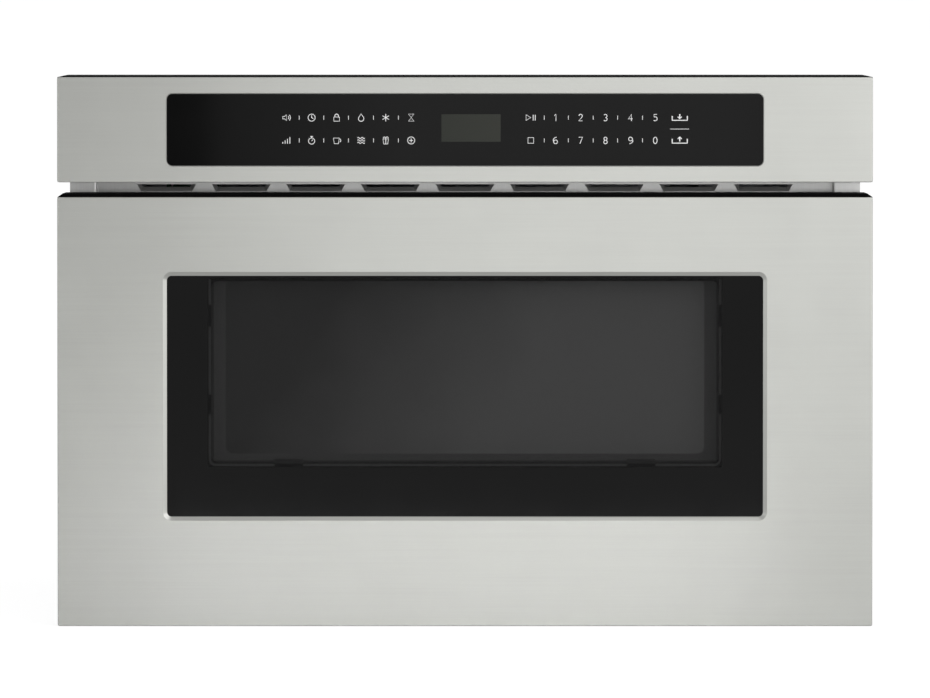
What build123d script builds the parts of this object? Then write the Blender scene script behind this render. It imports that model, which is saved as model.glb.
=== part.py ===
from build123d import *
import math
import os

os.makedirs("parts", exist_ok=True)

# Built-in microwave drawer, in millimetres. X runs to the right, Y into the cabinet and Z up.
# x = 0 is the middle, y = 0 the cabinet's face, z = 0 the underside of the chassis.

# Front
front_overlap = 26.6
front_thickness = 30.0
door_drop = 19.0
door_height = 319.5
front_gap = 11.0
panel_height = 78.2
skin_sheet = 1.0
skin_return = 2.8
skin_corner = 1.6
skin_fold = 0.7
panel_corner = 1.6
housing_wall = 2.5
housing_fit = 0.15
door_draft = 1.9
panel_draft = 2.6
shoulder_inset = 0.2
door_rail_rise = 2.7
door_rail_corner = 3.9
panel_rail_rise = 1.1
panel_rail_corner = 4.7
panel_overhang = 18.7
closing_gap = 0.8

# Door window
glass_margin = 81.45
window_head = 58.6
window_sill = 81.5
window_corner = 3.5
window_bevel = 3.0
window_bevel_depth = 1.8
glass_lap = 7.0
glass_thickness = 4.0
glass_fit = 0.2
view_margin = 32.75
view_head = 4.1
view_sill = 39.3
view_corner = 6.0
seat_thickness = 2.5

# Control panel
panel_glass_height = 53.5
panel_glass_rise = 12.3
panel_glass_corner = 4.3
panel_glass_thickness = 3.0
panel_bevel_depth = 0.6
display_width = 44.1
display_height = 20.6
display_x = 4.5
display_rise = 17.8
touch_board_thickness = 1.6

# Chassis
sheet = 1.2
body_width = 553.2
body_depth = 562.0
flange_side_lap = 17.9
flange_top_lap = 10.0
flange_bottom_lap = 9.0
flange_corner = 2.0
flange_bend = 2.0
recess_depth = 15.0
cabinet_hole_radius = 2.25
cabinet_hole_inset = 6.0
cabinet_hole_low = 45.0
cabinet_hole_rise = 245.0

# Louvres in the bulkhead
louvre_count = 9
louvre_pitch = 55.7
louvre_top_width = 44.0
louvre_bottom_width = 38.0
louvre_lift = 0.1
louvre_height = 5.3
louvre_depth = 3.6
louvre_slope_rise = 3.2
louvre_side_slope = 3.2
louvre_sheet = 1.0

# Cavity and drawer
mouth_margin = 48.6
mouth_head = 38.5
mouth_sill = 68.0
mouth_corner = 12.0
rear_bay = 111.0
cavity_sheet = 1.0
cavity_rim = 9.0
tub_side_gap = 5.0
tub_lift = 4.0
tub_head = 22.0
tub_rear_gap = 11.0
tub_wall = 1.5
tub_corner = 12.0
tub_rim = 2.2
tray_thickness = 5.0
tray_gap = 5.0
choke_reach = 22.0
choke_mouth_gap = 1.0
choke_sheet = 1.2
choke_cover_thickness = 1.8
choke_slot_width = 3.0
choke_slot_pitch = 24.0
screen_sheet = 0.8
screen_y = -9.0
inner_glass_thickness = 3.0
inner_glass_lap = 8.0
inner_view_margin = 11.0
inner_view_sill = 6.6
inner_view_head = 10.0

# Telescopic slides
slide_length = 450.0
slide_front = 20.0
slide_height = 45.7
slide_width = 12.7
slide_z = 120.0
slide_sheet = 1.2
slide_outer_reach = 11.8
slide_middle_reach = 7.6
slide_inner_reach = 7.0
slide_web_gap = 1.2
slide_lip = 3.0
slide_hole_pitch = 125.0
slide_hole_radius = 2.2
middle_half = 18.4
middle_slot_length = 60.0
middle_slot_height = 12.0
inner_half = 14.8
ball_clearance = 0.05
outer_ball_inset = 4.2
inner_ball_inset = 2.4
cage_length = 90.0
cage_sheet = 0.8
cage_side = 0.5
cage_balls = 3
arm_sheet = 2.0
arm_height = 48.0
arm_foot = 22.0
tongue_inset = 12.7
tongue_drop = 22.0
arm_front = -18.0
arm_short = 30.0
slot_margin = 1.4

# Rack and pinion
gear_module = 2.0
pinion_teeth = 14
rack_teeth = 66
gear_backlash = 0.3
gear_face_width = 12.0
gear_low = 28.0
rack_back = 7.0
rack_first_tooth = 30.0
pinion_y = 50.0
pinion_shaft_radius = 4.0
shaft_clearance = 0.05

# Microwave feed
guide_width = 90.0
guide_height = 40.0
guide_lead = 48.6
guide_rear_gap = 12.0
guide_sheet = 1.0
stirrer_radius = 84.0
stirrer_cover_width = 210.0
stirrer_cover_depth = 16.0
stirrer_cover_sheet = 1.5
stirrer_shaft_radius = 3.0
magnetron_rear = 59.0
magnetron_width = 94.0
magnetron_depth = 84.0
magnetron_height = 96.0
fin_count = 9

# Blower
blower_inset = 91.6
blower_z = 72.0
blower_wheel_radius = 38.0
blower_wheel_width = 36.0
blower_blades = 24
blower_rear = 98.0
blower_wall = 1.5
blower_shaft_radius = 3.0

# Screws
screw_hole_radius = 1.5
screw_shank_radius = 1.4
screw_head_across = 7.0
screw_head = 2.6
screw_bite = 8.0
screw_end_gap = 1.0
casing_screw_inset = 8.0
casing_screw_first = 60.0
casing_screw_pitch = 150.0
casing_screw_count = 4
back_screw_first = 40.0
back_screw_pitch = 95.0
panel_post_inset = 31.6
panel_post_sill = 18.5
panel_post_rise = 32.0
panel_post_radius = 6.0
door_screw_bottom_pitch = 160.0
door_screw_bottom_z = 8.0
door_screw_inset = 19.2
door_screw_side_z = 75.0
door_screw_side_rise = 140.0
door_boss_radius = 4.0

# Places that several pieces share
front_width = body_width + 2 * front_overlap
window_width = front_width - 2 * glass_margin
window_height = door_height - window_sill - window_head
view_width = window_width - 2 * view_margin
view_height = window_height - view_sill - view_head
front_y = -(sheet + front_thickness)
frame_front_y = front_y + skin_sheet
door_back_y = -sheet - closing_gap
door_bottom = -door_drop
door_top = door_bottom + door_height
door_mid = door_bottom + door_height / 2
panel_bottom = door_top + front_gap
body_height = panel_bottom + panel_height - panel_overhang
panel_mid = panel_bottom + panel_height / 2
panel_top = panel_bottom + panel_height
window_mid = door_bottom + window_sill + window_height / 2
view_mid = door_bottom + window_sill + view_sill + view_height / 2
panel_glass_mid = panel_bottom + panel_glass_rise + panel_glass_height / 2
body_inner = body_width / 2 - sheet
jamb_inner = body_inner - sheet
bulkhead_back = recess_depth + sheet
flange_width = body_width + 2 * flange_side_lap
flange_height = body_height + flange_top_lap + flange_bottom_lap
flange_mid = (body_height + flange_top_lap - flange_bottom_lap) / 2
cabinet_hole_x = flange_width / 2 - cabinet_hole_inset
casing_screw_x = body_inner - casing_screw_inset
casing_screws = [
    (side_x, casing_screw_first + casing_screw_pitch * place)
    for side_x in (-casing_screw_x, casing_screw_x)
    for place in range(casing_screw_count)
]
back_screws = [
    (side_x, back_screw_first + back_screw_pitch * place)
    for side_x in (-casing_screw_x, casing_screw_x)
    for place in range(casing_screw_count)
]
panel_post_x = body_width / 2 - panel_post_inset
panel_post_low = panel_bottom + panel_post_sill
panel_screws = [
    (side_x, height)
    for side_x in (-panel_post_x, panel_post_x)
    for height in (panel_post_low, panel_post_low + panel_post_rise)
]
door_screw_side_x = front_width / 2 - door_screw_inset
door_screws_at = [(door_screw_bottom_pitch * place, door_screw_bottom_z) for place in (-1.5, -0.5, 0.5, 1.5)]
door_screws_at += [
    (side_x, height)
    for side_x in (-door_screw_side_x, door_screw_side_x)
    for height in (door_screw_side_z, door_screw_side_z + door_screw_side_rise)
]
mouth_width = body_width - 2 * mouth_margin
mouth_height = door_top - mouth_head - mouth_sill
mouth_mid = mouth_sill + mouth_height / 2
mouth_top = mouth_sill + mouth_height
cavity_back = body_depth - rear_bay
cavity_depth = cavity_back - bulkhead_back
cavity_mid_y = (bulkhead_back + cavity_back) / 2
rear_inner = body_depth - sheet
guide_low = mouth_top + cavity_sheet
guide_top = guide_low + guide_height
guide_back = body_depth - guide_rear_gap
stirrer_y = cavity_mid_y
magnetron_y = body_depth - magnetron_rear
blower_x = -(body_width / 2 - blower_inset)
blower_front = body_depth - blower_rear


def plan(z):
    return Plane.XY.offset(z)


def front(y):
    return Plane.XZ.offset(-y)


def side(x):
    return Plane.YZ.offset(x)


def block(x, y, z, mode=Mode.ADD):
    with Locations(((x[0] + x[1]) / 2, (y[0] + y[1]) / 2, (z[0] + z[1]) / 2)):
        Box(x[1] - x[0], y[1] - y[0], z[1] - z[0], mode=mode)


def upright_rectangle(y, width, height, mid_z, corner):
    with BuildSketch(front(y)) as outline:
        with Locations((0, mid_z)):
            RectangleRounded(width, height, corner)
    return outline.sketch


def shoulder(y, width, low, high, rise, corner):
    half = width / 2
    with BuildSketch(front(y)) as outline:
        with BuildLine():
            Polyline(
                (-half, low),
                (half, low),
                (half, high),
                (half - corner, high + rise),
                (-(half - corner), high + rise),
                (-half, high),
                close=True,
            )
        make_face()
    return outline.sketch


# Door skin: a stainless sheet folded back round its edge, with a bevel down to the glass
window_lip_y = front_y + window_bevel_depth
with BuildPart() as door_skin:
    outline = upright_rectangle(front_y, front_width, door_height, door_mid, skin_corner)
    extrude(outline, amount=-skin_return)
    fillet(door_skin.faces().sort_by(Axis.Y)[0].edges(), skin_fold)
    outline = upright_rectangle(
        frame_front_y, front_width - 2 * skin_sheet, door_height - 2 * skin_sheet, door_mid, skin_corner / 2
    )
    extrude(outline, amount=-skin_return, mode=Mode.SUBTRACT)
    bevel_back = 2 * (window_bevel + skin_sheet / 2)
    near = upright_rectangle(
        frame_front_y - skin_sheet / 2,
        window_width + bevel_back,
        window_height + bevel_back,
        window_mid,
        window_corner + window_bevel,
    )
    far = upright_rectangle(
        window_lip_y + skin_sheet,
        window_width + 2 * skin_sheet,
        window_height + 2 * skin_sheet,
        window_mid,
        window_corner + skin_sheet,
    )
    loft([near, far])
    near = upright_rectangle(
        front_y,
        window_width + 2 * window_bevel,
        window_height + 2 * window_bevel,
        window_mid,
        window_corner + window_bevel,
    )
    far = upright_rectangle(window_lip_y, window_width, window_height, window_mid, window_corner)
    loft([near, far], mode=Mode.SUBTRACT)
    outline = upright_rectangle(window_lip_y, window_width, window_height, window_mid, window_corner)
    extrude(outline, amount=-skin_return, mode=Mode.SUBTRACT)
door_skin.part.label = "door_skin"
export_step(door_skin.part, "parts/door_skin.step")

# Window glass, behind the bevel's lip
door_glass_front = window_lip_y + skin_sheet
door_glass_back = door_glass_front + glass_thickness
with BuildPart() as door_glass:
    outline = upright_rectangle(
        door_glass_front,
        window_width + 2 * glass_lap,
        window_height + 2 * glass_lap,
        window_mid,
        window_corner + glass_lap,
    )
    extrude(outline, amount=-glass_thickness)
door_glass.part.label = "door_glass"
export_step(door_glass.part, "parts/door_glass.step")

# Door frame: a moulded tray with a seat for the glass, a tunnel to the screen and bosses for the arms.
# Behind the skin's folded edge its wall steps out, and its top stands above the steel as a black rail.
arm_outer = body_inner - slide_width
arm_inner = arm_outer - arm_sheet
arm_low = slide_z - arm_height / 2
arm_screw_x = arm_outer + arm_foot / 2
arm_screw_rise = 14.0
arm_screw_radius = 2.2
arm_boss_radius = 6.0
frame_rib_inset = 50.0
choke_outer_width = mouth_width + 2 * choke_reach
choke_outer_height = mouth_height + 2 * choke_reach
choke_plate_lap = 7.0
frame_rib_x = choke_outer_width / 2 - frame_rib_inset
seat_back = door_glass_back + seat_thickness
frame_width = front_width - 2 * skin_sheet - 2 * housing_fit
frame_height = door_height - 2 * skin_sheet - 2 * housing_fit
shoulder_y = front_y + skin_return + housing_fit
shoulder_width = front_width - 2 * shoulder_inset
with BuildPart() as door_frame:
    outline = upright_rectangle(frame_front_y, frame_width, frame_height, door_mid, skin_corner)
    extrude(outline, amount=-(shoulder_y - frame_front_y))
    low = door_bottom + shoulder_inset
    near = shoulder(shoulder_y, shoulder_width, low, door_top, door_rail_rise, door_rail_corner)
    far_width = shoulder_width - 2 * door_draft
    far = shoulder(door_back_y, far_width, low, door_top, door_rail_rise, door_rail_corner)
    loft([near, far])
    inner_width = frame_width - 2 * housing_wall
    inner_height = frame_height - 2 * housing_wall
    near = upright_rectangle(frame_front_y + housing_wall, inner_width, inner_height, door_mid, skin_corner)
    far = upright_rectangle(door_back_y, inner_width - 2 * door_draft, inner_height, door_mid, skin_corner)
    loft([near, far], mode=Mode.SUBTRACT)
    seat_width = window_width + 2 * (glass_lap + glass_fit + housing_wall)
    seat_height = window_height + 2 * (glass_lap + glass_fit + housing_wall)
    outline = upright_rectangle(frame_front_y, seat_width, seat_height, window_mid, window_corner + glass_lap)
    extrude(outline, amount=-(seat_back - frame_front_y))
    outline = upright_rectangle(
        seat_back, view_width + 2 * housing_wall, view_height + 2 * housing_wall, view_mid, view_corner
    )
    extrude(outline, amount=-(screen_y - seat_back))
    outline = upright_rectangle(
        frame_front_y,
        window_width + 2 * (glass_lap + glass_fit),
        window_height + 2 * (glass_lap + glass_fit),
        window_mid,
        window_corner + glass_lap,
    )
    extrude(outline, amount=-(door_glass_back - frame_front_y), mode=Mode.SUBTRACT)
    outline = upright_rectangle(door_glass_back, view_width, view_height, view_mid, view_corner)
    extrude(outline, amount=-front_thickness, mode=Mode.SUBTRACT)
    with BuildSketch(front(frame_front_y + housing_wall)):
        with Locations((0, door_mid)):
            with GridLocations(2 * frame_rib_x, 0, 2, 1):
                Rectangle(housing_wall, inner_height)
        with Locations((0, mouth_mid)):
            Rectangle(choke_outer_width + 2 * housing_wall, choke_outer_height + 2 * housing_wall)
            Rectangle(choke_outer_width - housing_wall, choke_outer_height - housing_wall, mode=Mode.SUBTRACT)
    extrude(amount=-(screen_y + screen_sheet - frame_front_y - housing_wall))
    with BuildSketch(front(frame_front_y + housing_wall)):
        with Locations((0, slide_z)):
            with GridLocations(2 * arm_screw_x, 2 * arm_screw_rise, 2, 2):
                Circle(arm_boss_radius)
    extrude(amount=-(arm_front - frame_front_y - housing_wall))
    with BuildSketch(front(frame_front_y + housing_wall)):
        with Locations(*door_screws_at):
            Circle(door_boss_radius)
    extrude(amount=-(screen_y + screen_sheet + choke_sheet - frame_front_y - housing_wall))
    with BuildSketch(front(screen_y + screen_sheet + choke_sheet)):
        with Locations(*door_screws_at):
            Circle(screw_hole_radius)
    extrude(amount=screw_bite, mode=Mode.SUBTRACT)
door_frame.part.label = "door_frame"
export_step(door_frame.part, "parts/door_frame.step")

# Screen: the metal sheet behind the glass, carried between the frame's tunnel and the choke
screen_inset = 3.0
screen_hole_inset = 11.0
screen_hole_radius = 2.2
with BuildPart() as door_screen:
    outline = upright_rectangle(
        screen_y,
        choke_outer_width - 2 * screen_inset,
        choke_outer_height - 2 * screen_inset,
        mouth_mid,
        view_corner,
    )
    extrude(outline, amount=-screen_sheet)
    with BuildSketch(front(screen_y + screen_sheet)):
        with Locations((0, mouth_mid)):
            hole_span = choke_outer_width - 2 * screen_hole_inset
            with GridLocations(hole_span, choke_outer_height - 2 * screen_hole_inset, 2, 2):
                Circle(screen_hole_radius)
    extrude(amount=screen_sheet, mode=Mode.SUBTRACT)
door_screen.part.label = "door_screen"
export_step(door_screen.part, "parts/door_screen.step")

# Choke frame: a pressed ring with a U section open towards the bulkhead, slotted along its outer wall
choke_front = screen_y + screen_sheet
choke_back = recess_depth - closing_gap - choke_cover_thickness
ring_inner_width = mouth_width - 2 * choke_mouth_gap
ring_inner_height = mouth_height - 2 * choke_mouth_gap
choke_long_slots = 18
choke_short_slots = 8
choke_slot_stop = 5.0
slot_cut = 2 * (choke_sheet + closing_gap)
plate_width = choke_outer_width + 2 * choke_plate_lap
plate_height = choke_outer_height + 2 * choke_plate_lap
with BuildPart() as choke_frame:
    with BuildSketch(front(choke_front)):
        with Locations((0, mouth_mid)):
            RectangleRounded(plate_width, plate_height, mouth_corner)
            RectangleRounded(ring_inner_width, ring_inner_height, mouth_corner, mode=Mode.SUBTRACT)
    extrude(amount=-choke_sheet)
    with BuildSketch(front(choke_front)):
        with Locations((0, mouth_mid)):
            Rectangle(choke_outer_width, choke_outer_height)
            groove_width = choke_outer_width - 2 * choke_sheet
            groove_height = choke_outer_height - 2 * choke_sheet
            Rectangle(groove_width, groove_height, mode=Mode.SUBTRACT)
    extrude(amount=-(choke_back - choke_front))
    with BuildSketch(front(choke_front)):
        with Locations((0, mouth_mid)):
            ring_outer_width = ring_inner_width + 2 * choke_sheet
            ring_outer_height = ring_inner_height + 2 * choke_sheet
            RectangleRounded(ring_outer_width, ring_outer_height, mouth_corner + choke_sheet)
            RectangleRounded(ring_inner_width, ring_inner_height, mouth_corner, mode=Mode.SUBTRACT)
    extrude(amount=-(choke_back - choke_front))
    with BuildSketch(front(choke_back)):
        with Locations((0, mouth_mid)):
            with GridLocations(choke_slot_pitch, choke_outer_height, choke_long_slots, 2):
                Rectangle(choke_slot_width, slot_cut)
            with GridLocations(choke_outer_width, choke_slot_pitch, 2, choke_short_slots):
                Rectangle(slot_cut, choke_slot_width)
    extrude(amount=choke_back - choke_front - choke_slot_stop, mode=Mode.SUBTRACT)
choke_frame.part.label = "choke_frame"
export_step(choke_frame.part, "parts/choke_frame.step")

# Choke cover: the plastic strip that closes the choke's groove
choke_cover_corner = 3.0
choke_cover_round = 1.2
with BuildPart() as choke_cover:
    with BuildSketch(front(choke_back)):
        with Locations((0, mouth_mid)):
            RectangleRounded(choke_outer_width, choke_outer_height, choke_cover_corner)
            RectangleRounded(ring_inner_width, ring_inner_height, mouth_corner, mode=Mode.SUBTRACT)
    extrude(amount=-choke_cover_thickness)
    fillet(choke_cover.faces().sort_by(Axis.Y)[-1].outer_wire().edges(), choke_cover_round)
choke_cover.part.label = "choke_cover"
export_step(choke_cover.part, "parts/choke_cover.step")

# Back cover of the door, set in so that it clears the screw heads on the flange
back_cover_y = choke_front + choke_sheet
back_cover_sheet = 2.0
bracket_y = back_cover_y + back_cover_sheet
bracket_sheet = 1.5
rack_front_y = bracket_y + bracket_sheet
bracket_foot = 3.0
back_cover_fit = 0.5
back_cover_corner = 2.0
cover_play = 1.0
rack_plate_width = 50.0
tongue_x = jamb_inner - tongue_inset
tongue_z = mouth_top - tongue_drop
with BuildPart() as door_back_cover:
    cover_width = frame_width - 2 * (housing_wall + door_draft + back_cover_fit)
    cover_height = frame_height - 2 * (housing_wall + back_cover_fit)
    with BuildSketch(front(back_cover_y)):
        with Locations((0, door_mid)):
            RectangleRounded(cover_width, cover_height, back_cover_corner)
        with Locations((0, mouth_mid)):
            cut_width = choke_outer_width + 2 * cover_play
            cut_height = choke_outer_height + 2 * cover_play
            Rectangle(cut_width, cut_height, mode=Mode.SUBTRACT)
        with Locations((0, slide_z)):
            with GridLocations(arm_inner + arm_outer, 0, 2, 1):
                Rectangle(arm_sheet + 2 * cover_play, arm_height + 4 * cover_play, mode=Mode.SUBTRACT)
        with Locations(*door_screws_at):
            Circle(screw_hole_radius, mode=Mode.SUBTRACT)
    extrude(amount=-back_cover_sheet)
door_back_cover.part.label = "door_back_cover"
export_step(door_back_cover.part, "parts/door_back_cover.step")

# Drawer tub: an open steel box whose front wall holds the inner glass
tub_width = mouth_width - 2 * tub_side_gap
tub_floor = mouth_sill + tub_lift
tub_front = choke_front
tub_back = cavity_back - tub_rear_gap
tub_mid_y = (tub_front + tub_back) / 2
tub_length = tub_back - tub_front
tub_height = mouth_height - tub_lift - tub_head
rim_setback = 4.0
inner_view_width = view_width - 2 * inner_view_margin
inner_view_height = view_height - inner_view_sill - inner_view_head
inner_view_mid = view_mid + (inner_view_sill - inner_view_head) / 2
with BuildPart() as drawer_tub:
    with BuildSketch(plan(tub_floor)):
        with Locations((0, tub_mid_y)):
            RectangleRounded(tub_width, tub_length, tub_corner)
    extrude(amount=tub_height)
    fillet(drawer_tub.faces().sort_by(Axis.Z)[0].edges(), tub_corner / 2)
    offset(amount=-tub_wall, openings=drawer_tub.faces().sort_by(Axis.Z)[-1])
    rim_front = bulkhead_back + rim_setback
    rim_mid = (rim_front + tub_back + tub_rim) / 2
    with BuildSketch(plan(tub_floor + tub_height - tub_wall)):
        with Locations((0, rim_mid)):
            Rectangle(tub_width + 2 * tub_rim, tub_back + tub_rim - rim_front)
        with Locations((0, tub_mid_y)):
            RectangleRounded(
                tub_width - 2 * tub_wall, tub_length - 2 * tub_wall, tub_corner - tub_wall, mode=Mode.SUBTRACT
            )
    extrude(amount=tub_wall)
    outline = upright_rectangle(tub_front, inner_view_width, inner_view_height, inner_view_mid, view_corner)
    extrude(outline, amount=-tub_wall, mode=Mode.SUBTRACT)
drawer_tub.part.label = "drawer_tub"
export_step(drawer_tub.part, "parts/drawer_tub.step")

# Inner glass, on the cavity side of the screen
with BuildPart() as inner_glass:
    outline = upright_rectangle(
        tub_front + tub_wall,
        inner_view_width + 2 * inner_glass_lap,
        inner_view_height + 2 * inner_glass_lap,
        inner_view_mid,
        view_corner,
    )
    extrude(outline, amount=-inner_glass_thickness)
inner_glass.part.label = "inner_glass"
export_step(inner_glass.part, "parts/inner_glass.step")

# Ceramic tray on the tub's floor
tray_front = tub_front + tub_wall + inner_glass_thickness + tray_gap
tray_rear = tub_back - tub_wall - tray_gap
tray_round = 1.5
with BuildPart() as tub_tray:
    with BuildSketch(plan(tub_floor + tub_wall)):
        with Locations((0, (tray_front + tray_rear) / 2)):
            RectangleRounded(tub_width - 2 * (tub_wall + tray_gap), tray_rear - tray_front, tub_corner)
    extrude(amount=tray_thickness)
    fillet(tub_tray.faces().sort_by(Axis.Z)[-1].edges(), tray_round)
tub_tray.part.label = "tub_tray"
export_step(tub_tray.part, "parts/tub_tray.step")

# Drawer arms: angle plates from the door frame along the inner slide members
arm_back = slide_front + slide_length - arm_short
arm_nose = 30.0
arm_nose_rise = 14.0
lightening_count = 4
lightening_first = 110.0
lightening_pitch = 80.0
lightening_length = 44.0
lightening_height = 16.0
for sign, word in ((-1, "left"), (1, "right")):
    with BuildPart() as drawer_arm:
        with BuildSketch(side(sign * arm_inner)):
            with BuildLine():
                Polyline(
                    (arm_front, arm_low),
                    (arm_back - arm_nose, arm_low),
                    (arm_back, arm_low + arm_nose_rise),
                    (arm_back, arm_low + arm_height - arm_nose_rise),
                    (arm_back - arm_nose, arm_low + arm_height),
                    (arm_front, arm_low + arm_height),
                    close=True,
                )
            make_face()
            for lightening in range(lightening_count):
                with Locations((lightening_first + lightening_pitch * lightening, slide_z)):
                    SlotOverall(lightening_length, lightening_height, mode=Mode.SUBTRACT)
        extrude(amount=sign * arm_sheet)
        with BuildSketch(front(arm_front)):
            with Locations((sign * (arm_inner + arm_foot / 2), slide_z)):
                Rectangle(arm_foot, arm_height)
            with Locations((sign * arm_screw_x, slide_z)):
                with GridLocations(0, 2 * arm_screw_rise, 1, 2):
                    Circle(arm_screw_radius, mode=Mode.SUBTRACT)
        extrude(amount=-arm_sheet)
    drawer_arm.part.label = f"drawer_arm_{word}"
    export_step(drawer_arm.part, f"parts/drawer_arm_{word}.step")


# Telescopic slides. Each member is a channel: a web, and flanges that reach from it towards the next member.
def channel(web, reach, half, lip):
    step = math.copysign(slide_sheet, reach)
    rim = web + reach
    points = [(web, half), (rim, half)]
    if lip:
        points += [(rim, half - lip), (rim - step, half - lip), (rim - step, half - slide_sheet)]
    else:
        points += [(rim, half - slide_sheet)]
    points += [(web + step, half - slide_sheet)]
    lower = [(x, -z) for x, z in reversed(points)]
    Polyline(*[(x, z + slide_z) for x, z in points + lower], close=True)


for sign, word in ((-1, "left"), (1, "right")):
    with BuildPart() as slide_outer:
        with BuildSketch(front(slide_front)):
            with BuildLine():
                channel(sign * body_inner, -sign * slide_outer_reach, slide_height / 2, slide_lip)
            make_face()
        extrude(amount=-slide_length)
        with BuildSketch(side(sign * body_inner)):
            with Locations((slide_front + slide_length / 2, slide_z)):
                with GridLocations(slide_hole_pitch, 0, 4, 1):
                    Circle(slide_hole_radius)
        extrude(amount=-sign * slide_sheet, mode=Mode.SUBTRACT)
    slide_outer.part.label = f"slide_outer_{word}"
    export_step(slide_outer.part, f"parts/slide_outer_{word}.step")

    middle_web = sign * (body_inner - slide_sheet - slide_web_gap)
    with BuildPart() as slide_middle:
        with BuildSketch(front(slide_front)):
            with BuildLine():
                channel(middle_web, -sign * slide_middle_reach, middle_half, 0.0)
            make_face()
        extrude(amount=-slide_length)
        with BuildSketch(side(middle_web)):
            with Locations((slide_front + slide_length / 2, slide_z)):
                with GridLocations(slide_hole_pitch, 0, 3, 1):
                    SlotOverall(middle_slot_length, middle_slot_height)
        extrude(amount=-sign * slide_sheet, mode=Mode.SUBTRACT)
    slide_middle.part.label = f"slide_middle_{word}"
    export_step(slide_middle.part, f"parts/slide_middle_{word}.step")

    with BuildPart() as slide_inner:
        with BuildSketch(front(slide_front)):
            with BuildLine():
                channel(sign * arm_outer, sign * slide_inner_reach, inner_half, 0.0)
            make_face()
        extrude(amount=-slide_length)
    slide_inner.part.label = f"slide_inner_{word}"
    export_step(slide_inner.part, f"parts/slide_inner_{word}.step")

# Ball cages: strips of steel balls, above and below, between one member of the slide and the next
outer_ball_radius = (slide_height / 2 - slide_sheet - middle_half) / 2 - ball_clearance
inner_ball_radius = (middle_half - slide_sheet - inner_half) / 2 - ball_clearance
outer_ball_z = (slide_height / 2 - slide_sheet + middle_half) / 2
inner_ball_z = (middle_half - slide_sheet + inner_half) / 2
cage_front = slide_front + slide_length / 2 - cage_length / 2
outer_ball_x = body_inner - slide_sheet - slide_web_gap - outer_ball_inset
inner_ball_x = arm_outer + slide_inner_reach - inner_ball_inset
for name, ball_radius, ball_rise, ball_x in (
    ("outer_ball_cages", outer_ball_radius, outer_ball_z, outer_ball_x),
    ("inner_ball_cages", inner_ball_radius, inner_ball_z, inner_ball_x),
):
    with BuildPart() as ball_cages:
        for sign in (-1, 1):
            for rise in (-ball_rise, ball_rise):
                strip_half = ball_radius + cage_side
                strip_x = (sign * ball_x - strip_half, sign * ball_x + strip_half)
                strip_z = (slide_z + rise - cage_sheet / 2, slide_z + rise + cage_sheet / 2)
                block(strip_x, (cage_front, cage_front + cage_length), strip_z)
                for ball in range(cage_balls):
                    place = cage_front + cage_length * (ball + 0.5) / cage_balls
                    with Locations((sign * ball_x, place, slide_z + rise)):
                        Sphere(ball_radius)
    ball_cages.part.label = name
    export_step(ball_cages.part, f"parts/{name}.step")

# Front flange: a plate round the body with its inner edge bent back into a recess
opening_height = body_height - 4 * sheet
with BuildPart() as front_flange:
    outline = upright_rectangle(-sheet, flange_width, flange_height, flange_mid, flange_corner)
    extrude(outline, amount=-sheet)
    outline = upright_rectangle(
        -sheet, 2 * body_inner, body_height - 2 * sheet, body_height / 2, flange_bend + sheet
    )
    extrude(outline, amount=-(recess_depth + sheet))
    outline = upright_rectangle(-sheet, 2 * jamb_inner, opening_height, body_height / 2, flange_bend)
    extrude(outline, amount=-(recess_depth + sheet), mode=Mode.SUBTRACT)
    front_edges = front_flange.faces().sort_by(Axis.Y)[0].inner_wires()[0].edges()
    fillet(front_edges, flange_bend)
    with BuildSketch(front(-sheet)):
        for z in (cabinet_hole_low, cabinet_hole_low + cabinet_hole_rise):
            with Locations((-cabinet_hole_x, z), (cabinet_hole_x, z)):
                Circle(cabinet_hole_radius)
    extrude(amount=-sheet, mode=Mode.SUBTRACT)
front_flange.part.label = "front_flange"
export_step(front_flange.part, "parts/front_flange.step")


# Bulkhead at the back of the recess: cavity mouth, slots for what passes through, and pressed louvres
louvre_bottom = door_top + door_rail_rise + louvre_lift


def louvre_form(grow, front_at, rear_at):
    bottom = louvre_bottom - grow
    top = louvre_bottom + louvre_height
    low = louvre_bottom_width / 2 + grow
    high = louvre_top_width / 2 + grow
    rear_bottom = bottom + louvre_slope_rise
    rear_low = low - louvre_side_slope / 2
    rear_high = high - louvre_side_slope
    with BuildSketch(front(front_at)) as mouth:
        Polygon((-low, bottom), (low, bottom), (high, top), (-high, top), align=None)
    with BuildSketch(front(rear_at)) as throat:
        corners = [(-rear_low, rear_bottom), (rear_low, rear_bottom), (rear_high, top), (-rear_high, top)]
        Polygon(*corners, align=None)
    return [mouth.sketch, throat.sketch]


louvre_rear = recess_depth + louvre_depth
with BuildPart() as louvre_shell:
    loft(louvre_form(louvre_sheet, recess_depth, louvre_rear))
with BuildPart() as louvre_void:
    loft(louvre_form(0.0, recess_depth, louvre_rear))

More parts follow.
